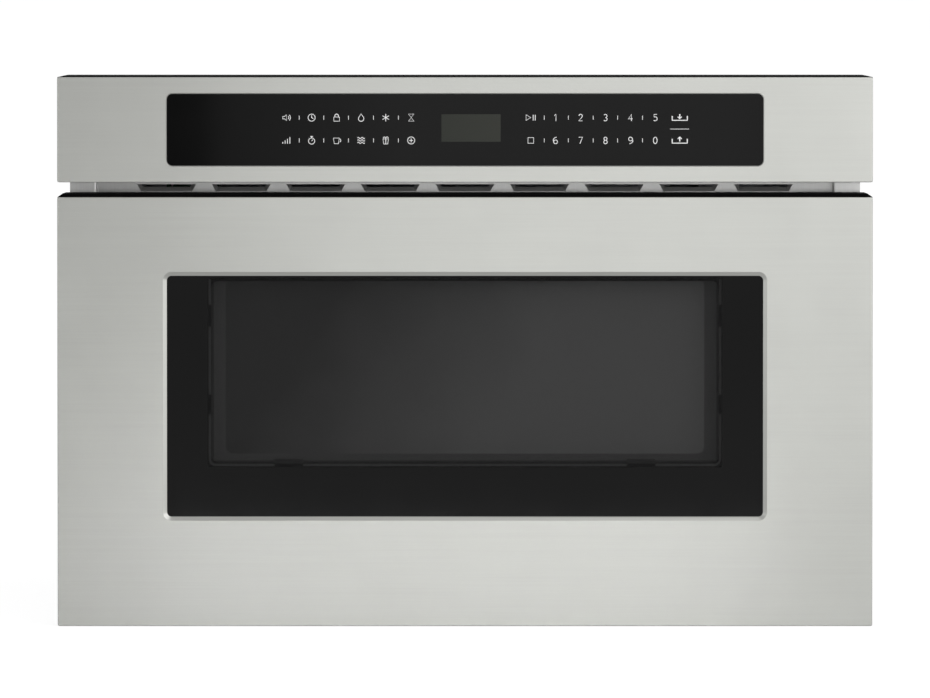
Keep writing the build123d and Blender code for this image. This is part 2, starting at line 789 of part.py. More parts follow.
rack_slot_width = 26.0
rack_slot_play = 2.0
rack_slot_low = gear_low - bracket_foot - rack_slot_play
rack_slot_high = gear_low + gear_face_width + rack_slot_play
arm_slot_edge = 0.6
tongue_slot_width = 6.0
tongue_slot_height = 19.0
louvre_places = GridLocations(louvre_pitch, 0, louvre_count, 1)
with BuildPart() as front_bulkhead:
    with BuildSketch(front(recess_depth)):
        with Locations((0, body_height / 2)):
            Rectangle(2 * body_inner, body_height - 2 * sheet)
        with Locations((0, mouth_mid)):
            RectangleRounded(mouth_width, mouth_height, mouth_corner, mode=Mode.SUBTRACT)
        with Locations(*panel_screws):
            Circle(screw_hole_radius, mode=Mode.SUBTRACT)
        for sign in (-1, 1):
            slot_inner = arm_inner - slot_margin
            slot_outer = jamb_inner - arm_slot_edge
            with Locations((sign * (slot_inner + slot_outer) / 2, slide_z)):
                Rectangle(slot_outer - slot_inner, arm_height + 2 * slot_margin, mode=Mode.SUBTRACT)
            with Locations((sign * tongue_x, tongue_z)):
                Rectangle(tongue_slot_width, tongue_slot_height, mode=Mode.SUBTRACT)
        with Locations((0, (rack_slot_low + rack_slot_high) / 2)):
            Rectangle(rack_slot_width, rack_slot_high - rack_slot_low, mode=Mode.SUBTRACT)
    extrude(amount=-sheet)
    with louvre_places:
        add(louvre_shell.part)
    with louvre_places:
        add(louvre_void.part, mode=Mode.SUBTRACT)
front_bulkhead.part.label = "front_bulkhead"
export_step(front_bulkhead.part, "parts/front_bulkhead.step")

# Oven cavity behind the bulkhead
feed_radius = 34.0
lamp_inset = 63.0
lamp_setback = 93.8
lamp_hole_pitch = 8.0
lamp_hole_radius = 1.6
lamp_x = mouth_width / 2 - lamp_inset
lamp_y = bulkhead_back + lamp_setback
with BuildPart() as oven_cavity:
    outline = upright_rectangle(
        bulkhead_back,
        mouth_width + 2 * cavity_sheet,
        mouth_height + 2 * cavity_sheet,
        mouth_mid,
        mouth_corner + cavity_sheet,
    )
    extrude(outline, amount=-cavity_depth)
    outline = upright_rectangle(
        bulkhead_back, mouth_width + 2 * cavity_rim, mouth_height + 2 * cavity_rim, mouth_mid, mouth_corner
    )
    extrude(outline, amount=-cavity_sheet)
    outline = upright_rectangle(bulkhead_back, mouth_width, mouth_height, mouth_mid, mouth_corner)
    extrude(outline, amount=-(cavity_depth - cavity_sheet), mode=Mode.SUBTRACT)
    with BuildSketch(plan(mouth_top)):
        with Locations((0, stirrer_y)):
            Circle(feed_radius)
        with Locations((lamp_x, lamp_y)):
            with GridLocations(lamp_hole_pitch, lamp_hole_pitch, 4, 3):
                Circle(lamp_hole_radius)
    extrude(amount=cavity_sheet, mode=Mode.SUBTRACT)
oven_cavity.part.label = "oven_cavity"
export_step(oven_cavity.part, "parts/oven_cavity.step")

# Stirrer cover: a shallow plastic tray under the cavity's ceiling
stirrer_cover_corner = 20.0
stirrer_cover_round = 4.0
with BuildPart() as stirrer_cover:
    cover_low = mouth_top - stirrer_cover_depth
    with BuildSketch(plan(cover_low)):
        with Locations((0, stirrer_y)):
            RectangleRounded(stirrer_cover_width, stirrer_cover_width, stirrer_cover_corner)
    extrude(amount=stirrer_cover_depth)
    fillet(stirrer_cover.faces().sort_by(Axis.Z)[0].edges(), stirrer_cover_round)
    with BuildSketch(plan(cover_low + stirrer_cover_sheet)):
        with Locations((0, stirrer_y)):
            cover_inside = stirrer_cover_width - 2 * stirrer_cover_sheet
            RectangleRounded(cover_inside, cover_inside, stirrer_cover_corner - stirrer_cover_sheet)
    extrude(amount=stirrer_cover_depth, mode=Mode.SUBTRACT)
stirrer_cover.part.label = "stirrer_cover"
export_step(stirrer_cover.part, "parts/stirrer_cover.step")

# Waveguide along the top of the cavity, from the magnetron to the stirrer
guide_front = stirrer_y - guide_lead
guide_flange = 12.0
guide_bend = 2.0
antenna_radius = 12.0
antenna_play = 3.0
motor_hole_radius = 5.0
with BuildPart() as waveguide:
    with BuildSketch(plan(guide_low)):
        with Locations((0, (guide_front + guide_back) / 2)):
            Rectangle(guide_width + 2 * guide_flange, guide_back - guide_front)
    extrude(amount=guide_sheet)
    with BuildSketch(plan(guide_low)):
        with Locations((0, (guide_front + guide_back) / 2)):
            Rectangle(guide_width, guide_back - guide_front)
    extrude(amount=guide_height)
    fillet(waveguide.edges().filter_by(Axis.Z).sort_by(Axis.Y)[-4:].sort_by(Axis.Z)[-2:], guide_bend)
    block(
        (-guide_width / 2 + guide_sheet, guide_width / 2 - guide_sheet),
        (guide_front + guide_sheet, guide_back - guide_sheet),
        (guide_low + guide_sheet, guide_top - guide_sheet),
        Mode.SUBTRACT,
    )
    with BuildSketch(plan(guide_low)):
        with Locations((0, stirrer_y)):
            Circle(feed_radius)
        with Locations((0, magnetron_y)):
            Circle(antenna_radius + antenna_play)
    extrude(amount=guide_sheet, mode=Mode.SUBTRACT)
    with BuildSketch(plan(guide_top)):
        with Locations((0, stirrer_y)):
            Circle(motor_hole_radius)
    extrude(amount=-guide_sheet, mode=Mode.SUBTRACT)
waveguide.part.label = "waveguide"
export_step(waveguide.part, "parts/waveguide.step")

# Stirrer motor on the waveguide: a flat can with ears and a bore for the blades' shaft
motor_can_height = 18.0
motor_can_radius = 25.0
motor_can_round = 2.0
motor_ear_x = 30.0
motor_ear_radius = 6.0
motor_ear_sheet = 1.5
stirrer_bore_depth = 8.0
with BuildPart() as stirrer_motor:
    with BuildSketch(plan(guide_top)):
        with Locations((0, stirrer_y)):
            SlotOverall(2 * (motor_ear_x + motor_ear_radius), 2 * motor_ear_radius)
    extrude(amount=motor_ear_sheet)
    with BuildSketch(plan(guide_top)):
        with Locations((0, stirrer_y)):
            Circle(motor_can_radius)
    extrude(amount=motor_can_height)
    fillet(stirrer_motor.faces().sort_by(Axis.Z)[-1].edges(), motor_can_round)
    with BuildSketch(plan(guide_top)):
        with Locations((0, stirrer_y)):
            Circle(stirrer_shaft_radius + shaft_clearance)
    extrude(amount=stirrer_bore_depth, mode=Mode.SUBTRACT)
stirrer_motor.part.label = "stirrer_motor"
export_step(stirrer_motor.part, "parts/stirrer_motor.step")

# Stirrer blades on their shaft
blade_drop = 9.0
blade_low = mouth_top - blade_drop
blade_count = 4
blade_width = 26.0
blade_hole_radius = 6.0
blade_hole_at = 52.0
blade_sheet = 1.2
hub_radius = 7.0
hub_height = 6.0
shaft_end_gap = 1.0
with BuildPart() as stirrer_blades:
    with BuildSketch(plan(blade_low)):
        with Locations((0, stirrer_y)):
            Circle(blade_width / 2)
            with PolarLocations(0, blade_count):
                with Locations((stirrer_radius / 2, 0)):
                    SlotOverall(stirrer_radius, blade_width)
            with PolarLocations(blade_hole_at, blade_count):
                Circle(blade_hole_radius, mode=Mode.SUBTRACT)
    extrude(amount=blade_sheet)
    with BuildSketch(plan(blade_low)):
        with Locations((0, stirrer_y)):
            Circle(hub_radius)
    extrude(amount=hub_height)
    with BuildSketch(plan(blade_low)):
        with Locations((0, stirrer_y)):
            Circle(stirrer_shaft_radius)
    extrude(amount=guide_top + stirrer_bore_depth - shaft_end_gap - blade_low)
stirrer_blades.part.label = "stirrer_blades"
export_step(stirrer_blades.part, "parts/stirrer_blades.step")

# Magnetron under the guide's rear end: yoke, anode and antenna
magnetron_top = guide_low
yoke_sheet = 3.0
yoke_low = magnetron_top - magnetron_height
anode_radius = 20.0
antenna_height = 24.0
antenna_taper = 6
filter_box_half = 24.0
filter_box_depth = 52.0
filter_box_height = 34.0
plug_reach = 14.0
plug_width = 24.0
plug_height = 18.0
with BuildPart() as magnetron:
    with BuildSketch(front(magnetron_y - magnetron_depth / 2)):
        with Locations((0, (magnetron_top + yoke_low) / 2)):
            Rectangle(magnetron_width, magnetron_height)
            Rectangle(magnetron_width - 2 * yoke_sheet, magnetron_height - 2 * yoke_sheet, mode=Mode.SUBTRACT)
    extrude(amount=-magnetron_depth)
    with BuildSketch(plan(yoke_low)):
        with Locations((0, magnetron_y)):
            Circle(anode_radius)
    extrude(amount=magnetron_height)
    with BuildSketch(plan(magnetron_top)):
        with Locations((0, magnetron_y)):
            Circle(antenna_radius)
    extrude(amount=antenna_height, taper=antenna_taper)
    filter_low = yoke_low - filter_box_height
    block(
        (-filter_box_half, filter_box_half),
        (magnetron_y - filter_box_depth / 2, magnetron_y + filter_box_depth / 2),
        (filter_low, yoke_low),
    )
    plug_low = filter_low + (filter_box_height - plug_height) / 2
    block(
        (filter_box_half, filter_box_half + plug_reach),
        (magnetron_y - plug_width / 2, magnetron_y + plug_width / 2),
        (plug_low, plug_low + plug_height),
    )
magnetron.part.label = "magnetron"
export_step(magnetron.part, "parts/magnetron.step")

# Cooling fins pressed on the anode, between the yoke's sides
fin_pitch = 8.0
fin_sheet = 0.8
fin_lift = 12.0
fin_play = 0.2
fin_setback = 5.0
fin_corner = 2.0
fin_low = yoke_low + yoke_sheet + fin_lift
fin_width = magnetron_width - 2 * (yoke_sheet + fin_play)
with BuildPart() as magnetron_fins:
    for fin in range(fin_count):
        with BuildSketch(plan(fin_low + fin * fin_pitch)):
            with Locations((0, magnetron_y)):
                RectangleRounded(fin_width, magnetron_depth - 2 * fin_setback, fin_corner)
                Circle(anode_radius, mode=Mode.SUBTRACT)
        extrude(amount=fin_sheet)
magnetron_fins.part.label = "magnetron_fins"
export_step(magnetron_fins.part, "parts/magnetron_fins.step")

# High-voltage transformer: a laminated core with two windings, standing on the base
transformer_x = 150.0
transformer_rear = 56.0
transformer_y = body_depth - transformer_rear
core_width = 92.0
core_height = 76.0
core_depth = 58.0
core_window = 17.0
core_yoke = 15.0
core_foot = 12.0
core_foot_sheet = 3.0
coil_side = 15.0
coil_corner = 8.0
primary_low = 18.0
primary_height = 18.0
secondary_low = 39.0
secondary_height = 20.0
with BuildPart() as hv_transformer:
    with BuildSketch(front(transformer_y - core_depth / 2)):
        with Locations((transformer_x, sheet + core_height / 2)):
            Rectangle(core_width, core_height)
            with GridLocations(core_width / 2, 0, 2, 1):
                Rectangle(core_window, core_height - 2 * core_yoke, mode=Mode.SUBTRACT)
    extrude(amount=-core_depth)
    coil_outer = core_width / 2 + core_window
    for coil_low, coil_height in ((primary_low, primary_height), (secondary_low, secondary_height)):
        with BuildSketch(plan(sheet + coil_low)):
            with Locations((transformer_x, transformer_y)):
                RectangleRounded(coil_outer, core_depth + 2 * coil_side, coil_corner)
                Rectangle(core_width / 2 - core_window, core_depth, mode=Mode.SUBTRACT)
        extrude(amount=coil_height)
    block(
        (transformer_x - core_width / 2 - core_foot, transformer_x + core_width / 2 + core_foot),
        (transformer_y - core_depth / 2, transformer_y + core_depth / 2),
        (sheet, sheet + core_foot_sheet),
    )
hv_transformer.part.label = "hv_transformer"
export_step(hv_transformer.part, "parts/hv_transformer.step")

# High-voltage capacitor, an oval can with two terminals, and its diode lying on the base
capacitor_x = 58.0
capacitor_rear = 62.0
capacitor_y = body_depth - capacitor_rear
capacitor_length = 50.0
capacitor_width = 32.0
capacitor_height = 96.0
capacitor_round = 2.0
terminal_pitch = 18.0
terminal_radius = 5.0
terminal_height = 6.0
spade_width = 6.4
spade_height = 8.0
spade_sheet = 0.8
diode_gap = 7.0
diode_length = 12.0
diode_width = 9.0
diode_height = 10.0
diode_corner = 2.0
lead_radius = 1.0
lead_length = 44.0
capacitor_top = sheet + capacitor_height
terminal_top = capacitor_top + terminal_height
diode_back = capacitor_y - capacitor_length / 2 - diode_gap + diode_length / 2
with BuildPart() as hv_capacitor:
    with BuildSketch(plan(sheet)):
        with Locations((capacitor_x, capacitor_y)):
            SlotOverall(capacitor_length, capacitor_width, 90)
    extrude(amount=capacitor_height)
    fillet(hv_capacitor.faces().sort_by(Axis.Z)[-1].edges(), capacitor_round)
    with BuildSketch(plan(capacitor_top)):
        with Locations((capacitor_x, capacitor_y)):
            with GridLocations(0, terminal_pitch, 1, 2):
                Circle(terminal_radius)
    extrude(amount=terminal_height)
    for tab_y in (capacitor_y - terminal_pitch / 2, capacitor_y + terminal_pitch / 2):
        block(
            (capacitor_x - spade_width / 2, capacitor_x + spade_width / 2),
            (tab_y - spade_sheet / 2, tab_y + spade_sheet / 2),
            (terminal_top, terminal_top + spade_height),
        )
    with BuildSketch(front(diode_back)):
        with Locations((capacitor_x, sheet + diode_height / 2)):
            RectangleRounded(diode_width, diode_height, diode_corner)
    extrude(amount=diode_length)
    with BuildSketch(side(capacitor_x - lead_length / 2)):
        with Locations((diode_back - diode_length / 2, sheet + diode_height / 2)):
            Circle(lead_radius)
    extrude(amount=lead_length)
hv_capacitor.part.label = "hv_capacitor"
export_step(hv_capacitor.part, "parts/hv_capacitor.step")

# Blower housing: a scroll round the wheel, with its outlet going up
scroll_gap = 6.0
scroll_side_gap = 8.0
scroll_growth = 3.0
outlet_top = 176.0
outlet_offset = 2.0
intake_inset = 8.0
shaft_hole_radius = 9.0
foot_half = 30.0
scroll_small = blower_wheel_radius + scroll_gap
scroll_depth = blower_wheel_width + scroll_side_gap
scroll_right = blower_x + scroll_small + 2 * scroll_growth


def scroll_outline(grow):
    # two quarter turns of growing radius, then straight up to the outlet
    def spiral(degrees):
        radius = scroll_small + grow + scroll_growth * (degrees - 180) / 90
        angle = math.radians(degrees)
        return (blower_x + radius * math.cos(angle), blower_z + radius * math.sin(angle))

    outlet_left = blower_x - outlet_offset - grow
    with BuildLine() as scroll:
        ThreePointArc(spiral(180), spiral(225), spiral(270))
        ThreePointArc(spiral(270), spiral(315), spiral(360))
        Line(spiral(360), (spiral(360)[0], outlet_top))
        Line((spiral(360)[0], outlet_top), (outlet_left, outlet_top))
        Line((outlet_left, outlet_top), (outlet_left, blower_z + scroll_small + grow))
        Line((outlet_left, blower_z + scroll_small + grow), spiral(135))
        ThreePointArc(spiral(135), spiral(158), spiral(180))
    return scroll.line


with BuildPart() as blower_housing:
    with BuildSketch(front(blower_front)):
        make_face(scroll_outline(blower_wall).edges())
    extrude(amount=-scroll_depth)
    with BuildSketch(front(blower_front + blower_wall)):
        make_face(scroll_outline(0.0).edges())
    extrude(amount=-(scroll_depth - 2 * blower_wall), mode=Mode.SUBTRACT)
    block(
        (blower_x - outlet_offset, scroll_right),
        (blower_front + blower_wall, blower_front + scroll_depth - blower_wall),
        (outlet_top - 2 * blower_wall, outlet_top),
        Mode.SUBTRACT,
    )
    with BuildSketch(front(blower_front)):
        with Locations((blower_x, blower_z)):
            Circle(blower_wheel_radius - intake_inset)
    extrude(amount=-blower_wall, mode=Mode.SUBTRACT)
    with BuildSketch(front(blower_front + scroll_depth)):
        with Locations((blower_x, blower_z)):
            Circle(shaft_hole_radius)
    extrude(amount=blower_wall, mode=Mode.SUBTRACT)
    block(
        (blower_x - foot_half, blower_x + foot_half),
        (blower_front, blower_front + scroll_depth),
        (sheet, blower_z - scroll_small - scroll_growth - blower_wall / 2),
    )
blower_housing.part.label = "blower_housing"
export_step(blower_housing.part, "parts/blower_housing.step")

# Blower wheel with forward-curved blades, and its shaft
wheel_gap = 2.5
wheel_disc = 2.0
wheel_ring = 7.0
wheel_ring_sheet = 1.5
blade_chord = 7.0
blade_thickness = 1.2
blade_angle = 35
blade_ring_inset = 4.0
wheel_hub_radius = 7.0
wheel_hub_length = 14.0
blower_shaft_length = 20.0
wheel_front = blower_front + blower_wall + wheel_gap
wheel_back = wheel_front + blower_wheel_width
with BuildPart() as blower_wheel:
    with BuildSketch(front(wheel_back)):
        with Locations((blower_x, blower_z)):
            Circle(blower_wheel_radius)
    extrude(amount=wheel_disc)
    with BuildSketch(front(wheel_front)):
        with Locations((blower_x, blower_z)):
            Circle(blower_wheel_radius)
            Circle(blower_wheel_radius - wheel_ring, mode=Mode.SUBTRACT)
    extrude(amount=-wheel_ring_sheet)
    with BuildSketch(front(wheel_front)):
        with Locations((blower_x, blower_z)):
            with PolarLocations(blower_wheel_radius - blade_ring_inset, blower_blades):
                Rectangle(blade_chord, blade_thickness, blade_angle)
    extrude(amount=-blower_wheel_width)
    with BuildSketch(front(wheel_back)):
        with Locations((blower_x, blower_z)):
            Circle(blower_shaft_radius)
    extrude(amount=-blower_shaft_length)
    with BuildSketch(front(wheel_back)):
        with Locations((blower_x, blower_z)):
            Circle(wheel_hub_radius)
    extrude(amount=wheel_hub_length)
blower_wheel.part.label = "blower_wheel"
export_step(blower_wheel.part, "parts/blower_wheel.step")

# Blower motor behind the scroll
blower_motor_radius = 26.0
blower_motor_length = 40.0
blower_motor_round = 4.0
blower_ear_span = 74.0
blower_ear_width = 10.0
blower_ear_sheet = 2.0
shaft_relief_radius = 8.0
motor_front = blower_front + scroll_depth
with BuildPart() as blower_motor:
    with BuildSketch(front(motor_front)):
        with Locations((blower_x, blower_z)):
            SlotOverall(blower_ear_span, blower_ear_width)
    extrude(amount=-blower_ear_sheet)
    with BuildSketch(front(motor_front)):
        with Locations((blower_x, blower_z)):
            Circle(blower_motor_radius)
    extrude(amount=-blower_motor_length)
    fillet(blower_motor.faces().sort_by(Axis.Y)[-1].edges(), blower_motor_round)
    with BuildSketch(front(motor_front)):
        with Locations((blower_x, blower_z)):
            Circle(blower_shaft_radius + shaft_clearance)
    extrude(amount=-blower_shaft_length, mode=Mode.SUBTRACT)
    with BuildSketch(front(motor_front)):
        with Locations((blower_x, blower_z)):
            Circle(shaft_relief_radius)
    extrude(amount=-blower_ear_sheet, mode=Mode.SUBTRACT)
blower_motor.part.label = "blower_motor"
export_step(blower_motor.part, "parts/blower_motor.step")

# Air duct from the blower's outlet across to the magnetron
duct_wall = 1.5
duct_height = 76.0
duct_rise = 4.0
duct_slope = 60.0
duct_corner_rise = 30.0
duct_lip = 2.0
duct_gap = 1.0
duct_left = blower_x - outlet_offset - blower_wall
duct_right = -magnetron_width / 2 - duct_gap
duct_low = outlet_top
duct_top = duct_low + duct_height
with BuildPart() as air_duct:
    with BuildSketch(front(blower_front)):
        with BuildLine():
            Polyline(
                (duct_left, duct_low),
                (scroll_right + blower_wall, duct_low),
                (duct_right, duct_low + duct_rise),
                (duct_right, duct_top),
                (duct_left + duct_slope, duct_top),
                (duct_left, duct_low + duct_corner_rise),
                close=True,
            )
        make_face()
    extrude(amount=-scroll_depth)
    with BuildSketch(front(blower_front + duct_wall)):
        with BuildLine():
            Polyline(
                (duct_left + duct_wall, duct_low),
                (scroll_right, duct_low),
                (scroll_right + duct_lip, duct_low + duct_wall),
                (duct_right, duct_low + duct_rise + duct_wall),
                (duct_right, duct_top - duct_wall),
                (duct_left + duct_slope, duct_top - duct_wall),
                (duct_left + duct_wall, duct_low + duct_corner_rise),
                close=True,
            )
        make_face()
    extrude(amount=-(scroll_depth - 2 * duct_wall), mode=Mode.SUBTRACT)
air_duct.part.label = "air_duct"
export_step(air_duct.part, "parts/air_duct.step")

bead_width = 16.0
bead_height = 2.4
bead_length = 250.0


# A bead pressed into a sheet: a long blister on its inner side, hollow on its outer side
def bead(outside, inwards, places, length, angle):
    with BuildSketch(outside) as blister:
        with Locations(*places):
            SlotOverall(length, bead_width, angle)
    extrude(blister.sketch, amount=inwards * (sheet + bead_height))
    with BuildSketch(outside) as hollow:
        with Locations(*places):
            SlotOverall(length - 2 * sheet, bead_width - 2 * sheet, angle)
    extrude(hollow.sketch, amount=inwards * bead_height, mode=Mode.SUBTRACT)


# Base plate with pressed beads
base_bead_outer = 205.0
base_bead_inner = 135.0
base_bead_rows = (-base_bead_outer, -base_bead_inner, base_bead_inner, base_bead_outer)
base_bead_places = [(x, body_depth / 2) for x in base_bead_rows]
with BuildPart() as base_plate:
    with BuildSketch(plan(0)):
        with Locations((0, rear_inner / 2)):
            Rectangle(body_width, rear_inner)
    extrude(amount=sheet)
    bead(plan(0), 1, base_bead_places, bead_length, 90)
base_plate.part.label = "base_plate"
export_step(base_plate.part, "parts/base_plate.step")

# Side panels: sheets with flanges turned in along the bottom, the top and the back
turn_in = 14.0
side_bead_length = 340.0
side_bead_low = 60.0
side_bead_high = 200.0
side_vent_rows = 3
side_vent_columns = 4
side_vent_head = 71.0
side_vent_rear = 122.0
vent_height = 4.0
side_vent_length = 18.0
side_vent_pitch = 24.0
side_vent_rise = 14.0
side_low = sheet
side_high = body_height - sheet
for sign, word in ((-1, "left"), (1, "right")):
    with BuildPart() as side_panel:
        outer = sign * body_width / 2
        with BuildSketch(side(outer)):
            with Locations((rear_inner / 2, body_height / 2)):
                Rectangle(rear_inner, side_high - side_low)
            with Locations((body_depth - side_vent_rear, body_height - side_vent_head)):
                with GridLocations(side_vent_pitch, side_vent_rise, side_vent_columns, side_vent_rows):
                    Rectangle(side_vent_length, vent_height, mode=Mode.SUBTRACT)
        extrude(amount=-sign * sheet)
        bead_places = [(body_depth / 2, side_bead_low), (body_depth / 2, side_bead_high)]
        bead(side(outer), -sign, bead_places, side_bead_length, 0)
        inward = sorted((sign * body_inner, sign * (body_inner - turn_in)))
        block(inward, (bulkhead_back, rear_inner), (side_low, side_low + sheet))
        block(inward, (bulkhead_back, rear_inner), (side_high - sheet, side_high))
        block(inward, (rear_inner - sheet, rear_inner), (side_low, side_high))
        with BuildSketch(plan(side_high - sheet)):
            with Locations(*casing_screws):
                Circle(screw_hole_radius)
        extrude(amount=sheet, mode=Mode.SUBTRACT)
        with BuildSketch(front(rear_inner)):
            with Locations(*back_screws):
                Circle(screw_hole_radius)
        extrude(amount=sheet, mode=Mode.SUBTRACT)
    side_panel.part.label = f"{word}_side_panel"
    export_step(side_panel.part, f"parts/{word}_side_panel.step")

# Top cover with rows of vent slots over the electronics, and two beads across it
top_vent_x = 170.0
top_vent_front = 300.0
top_vent_rear = 92.0
top_vent_count = 5
top_vent_length = 20.0
top_vent_pitch = 26.0
top_vent_rise = 12.0
top_bead_y = 130.0
top_bead_length = 300.0
with BuildPart() as top_cover:
    with BuildSketch(plan(body_height - sheet)):
        with Locations((0, rear_inner / 2)):
            Rectangle(body_width, rear_inner)
        with Locations((-top_vent_x, top_vent_front), (top_vent_x, body_depth - top_vent_rear)):
            with GridLocations(top_vent_pitch, top_vent_rise, top_vent_count, top_vent_count):
                Rectangle(top_vent_length, vent_height, mode=Mode.SUBTRACT)
        with Locations(*casing_screws):
            Circle(screw_hole_radius, mode=Mode.SUBTRACT)
    extrude(amount=sheet)
    bead(plan(body_height), -1, [(0, top_bead_y), (0, body_depth - top_bead_y)], top_bead_length, 0)
top_cover.part.label = "top_cover"
export_step(top_cover.part, "parts/top_cover.step")

# Back panel with the blower's intake, vent slots and the hole for the inlet gland
gland_inset = 51.6
gland_z = 60.0
gland_hole_radius = 9.0
gland_x = body_width / 2 - gland_inset
intake_columns = 5
intake_rows = 7
intake_rise = 10.0
exhaust_columns = 9
exhaust_rows = 5
exhaust_rise = 12.0
back_vent_length = 10.0
back_vent_pitch = 14.0
with BuildPart() as back_panel:
    with BuildSketch(front(rear_inner)):
        with Locations((0, body_height / 2)):
            Rectangle(body_width, body_height)
        with Locations((blower_x, blower_z)):
            with GridLocations(back_vent_pitch, intake_rise, intake_columns, intake_rows):
                Rectangle(back_vent_length, vent_height, mode=Mode.SUBTRACT)
        with Locations((0, yoke_low + magnetron_height / 2)):
            with GridLocations(back_vent_pitch, exhaust_rise, exhaust_columns, exhaust_rows):
                Rectangle(back_vent_length, vent_height, mode=Mode.SUBTRACT)
        with Locations((gland_x, gland_z)):
            Circle(gland_hole_radius, mode=Mode.SUBTRACT)
        with Locations(*back_screws):
            Circle(screw_hole_radius, mode=Mode.SUBTRACT)
    extrude(amount=-sheet)
back_panel.part.label = "back_panel"
export_step(back_panel.part, "parts/back_panel.step")

# Inlet gland in the back panel, with its bore open and a nut inside
gland_bore_radius = 4.5
gland_head = 6.0
gland_head_radius = 13.0
gland_head_round = 1.5
gland_barrel = 8.0
gland_nut = 5.0
with BuildPart() as inlet_gland:
    with BuildSketch(front(body_depth)):
        with Locations((gland_x, gland_z)):
            Circle(gland_head_radius)
    extrude(amount=-gland_head)
    fillet(inlet_gland.faces().sort_by(Axis.Y)[-1].edges(), gland_head_round)
    with BuildSketch(front(body_depth)):
        with Locations((gland_x, gland_z)):
            Circle(gland_hole_radius)
    extrude(amount=sheet + gland_barrel)
    with BuildSketch(front(rear_inner)):
        with Locations((gland_x, gland_z)):
            RegularPolygon(gland_head_radius, 6)
    extrude(amount=gland_nut)
    with BuildSketch(front(body_depth + gland_head)):
        with Locations((gland_x, gland_z)):
            Circle(gland_bore_radius)
    extrude(amount=gland_head + sheet + gland_barrel, mode=Mode.SUBTRACT)
inlet_gland.part.label = "inlet_gland"
export_step(inlet_gland.part, "parts/inlet_gland.step")

# Control panel skin, with its edge folded back and a chamfered opening for the glass
panel_glass_width = window_width
with BuildPart() as panel_skin:
    outline = upright_rectangle(front_y, front_width, panel_height, panel_mid, panel_corner)
    extrude(outline, amount=-skin_return)
    fillet(panel_skin.faces().sort_by(Axis.Y)[0].edges(), skin_fold)
    outline = upright_rectangle(
        frame_front_y,
        front_width - 2 * skin_sheet,
        panel_height - 2 * skin_sheet,
        panel_mid,
        panel_corner - skin_sheet,
    )
    extrude(outline, amount=-skin_return, mode=Mode.SUBTRACT)
    outline = upright_rectangle(
        front_y, panel_glass_width, panel_glass_height, panel_glass_mid, panel_glass_corner
    )
    extrude(outline, amount=-skin_sheet, mode=Mode.SUBTRACT)
    rim = panel_skin.faces().sort_by(Axis.Y)[0].inner_wires()[0].edges()
    chamfer(rim, panel_bevel_depth)
panel_skin.part.label = "panel_skin"
export_step(panel_skin.part, "parts/panel_skin.step")

# Control panel glass, with a window for the display
panel_glass_front = front_y + panel_bevel_depth
display_mid = panel_bottom + panel_glass_rise + display_rise + display_height / 2
with BuildPart() as panel_glass:
    outline = upright_rectangle(
        panel_glass_front,
        panel_glass_width - 2 * housing_fit,
        panel_glass_height - 2 * housing_fit,
        panel_glass_mid,
        panel_glass_corner - housing_fit,
    )
    extrude(outline, amount=-panel_glass_thickness)
    with BuildSketch(front(panel_glass_front)):
        with Locations((display_x, display_mid)):
            Rectangle(display_width, display_height)
    extrude(amount=-panel_glass_thickness, mode=Mode.SUBTRACT)
panel_glass.part.label = "panel_glass"
export_step(panel_glass.part, "parts/panel_glass.step")

# Display: its clear window fills the opening in the glass, and its module stands behind
display_module_depth = 4.0
display_module_lap = 6.0
display_module_corner = 2.0
display_fit = 0.05
panel_glass_back = panel_glass_front + panel_glass_thickness
with BuildPart() as display_window:
    with BuildSketch(front(panel_glass_front)):
        with Locations((display_x, display_mid)):
            Rectangle(display_width - 2 * display_fit, display_height - 2 * display_fit)
    extrude(amount=-panel_glass_thickness)
    with BuildSketch(front(panel_glass_back)):
        with Locations((display_x, display_mid)):
            module_width = display_width + 2 * display_module_lap
            module_height = display_height + 2 * display_module_lap
            RectangleRounded(module_width, module_height, display_module_corner)
    extrude(amount=-display_module_depth)
display_window.part.label = "display_window"
export_step(display_window.part, "parts/display_window.step")

# Touch board behind the glass
board_y = panel_glass_back + display_module_depth
board_margin = 15.0
board_edge = 3.0
board_corner = 2.0
chip_side = 14.0
chip_depth = 1.6
socket_width = 26.0
socket_height = 8.5
socket_depth = 7.5
chip_places = (-60.0, 40.0, 150.0)
socket_places = (-110.0, 95.0)
with BuildPart() as touch_board:
    board_width = panel_glass_width - 2 * board_margin
    outline = upright_rectangle(
        board_y, board_width, panel_glass_height - 2 * board_edge, panel_glass_mid, board_corner
    )
    extrude(outline, amount=-touch_board_thickness)
    chip_y = board_y + touch_board_thickness
    for x in chip_places:
        tall = (panel_glass_mid - chip_side / 2, panel_glass_mid + chip_side / 2)
        block((x - chip_side / 2, x + chip_side / 2), (chip_y, chip_y + chip_depth), tall)
    for x in socket_places:
        tall = (panel_glass_mid - socket_height, panel_glass_mid)
        block((x - socket_width / 2, x + socket_width / 2), (chip_y, chip_y + socket_depth), tall)
touch_board.part.label = "touch_board"
export_step(touch_board.part, "parts/touch_board.step")

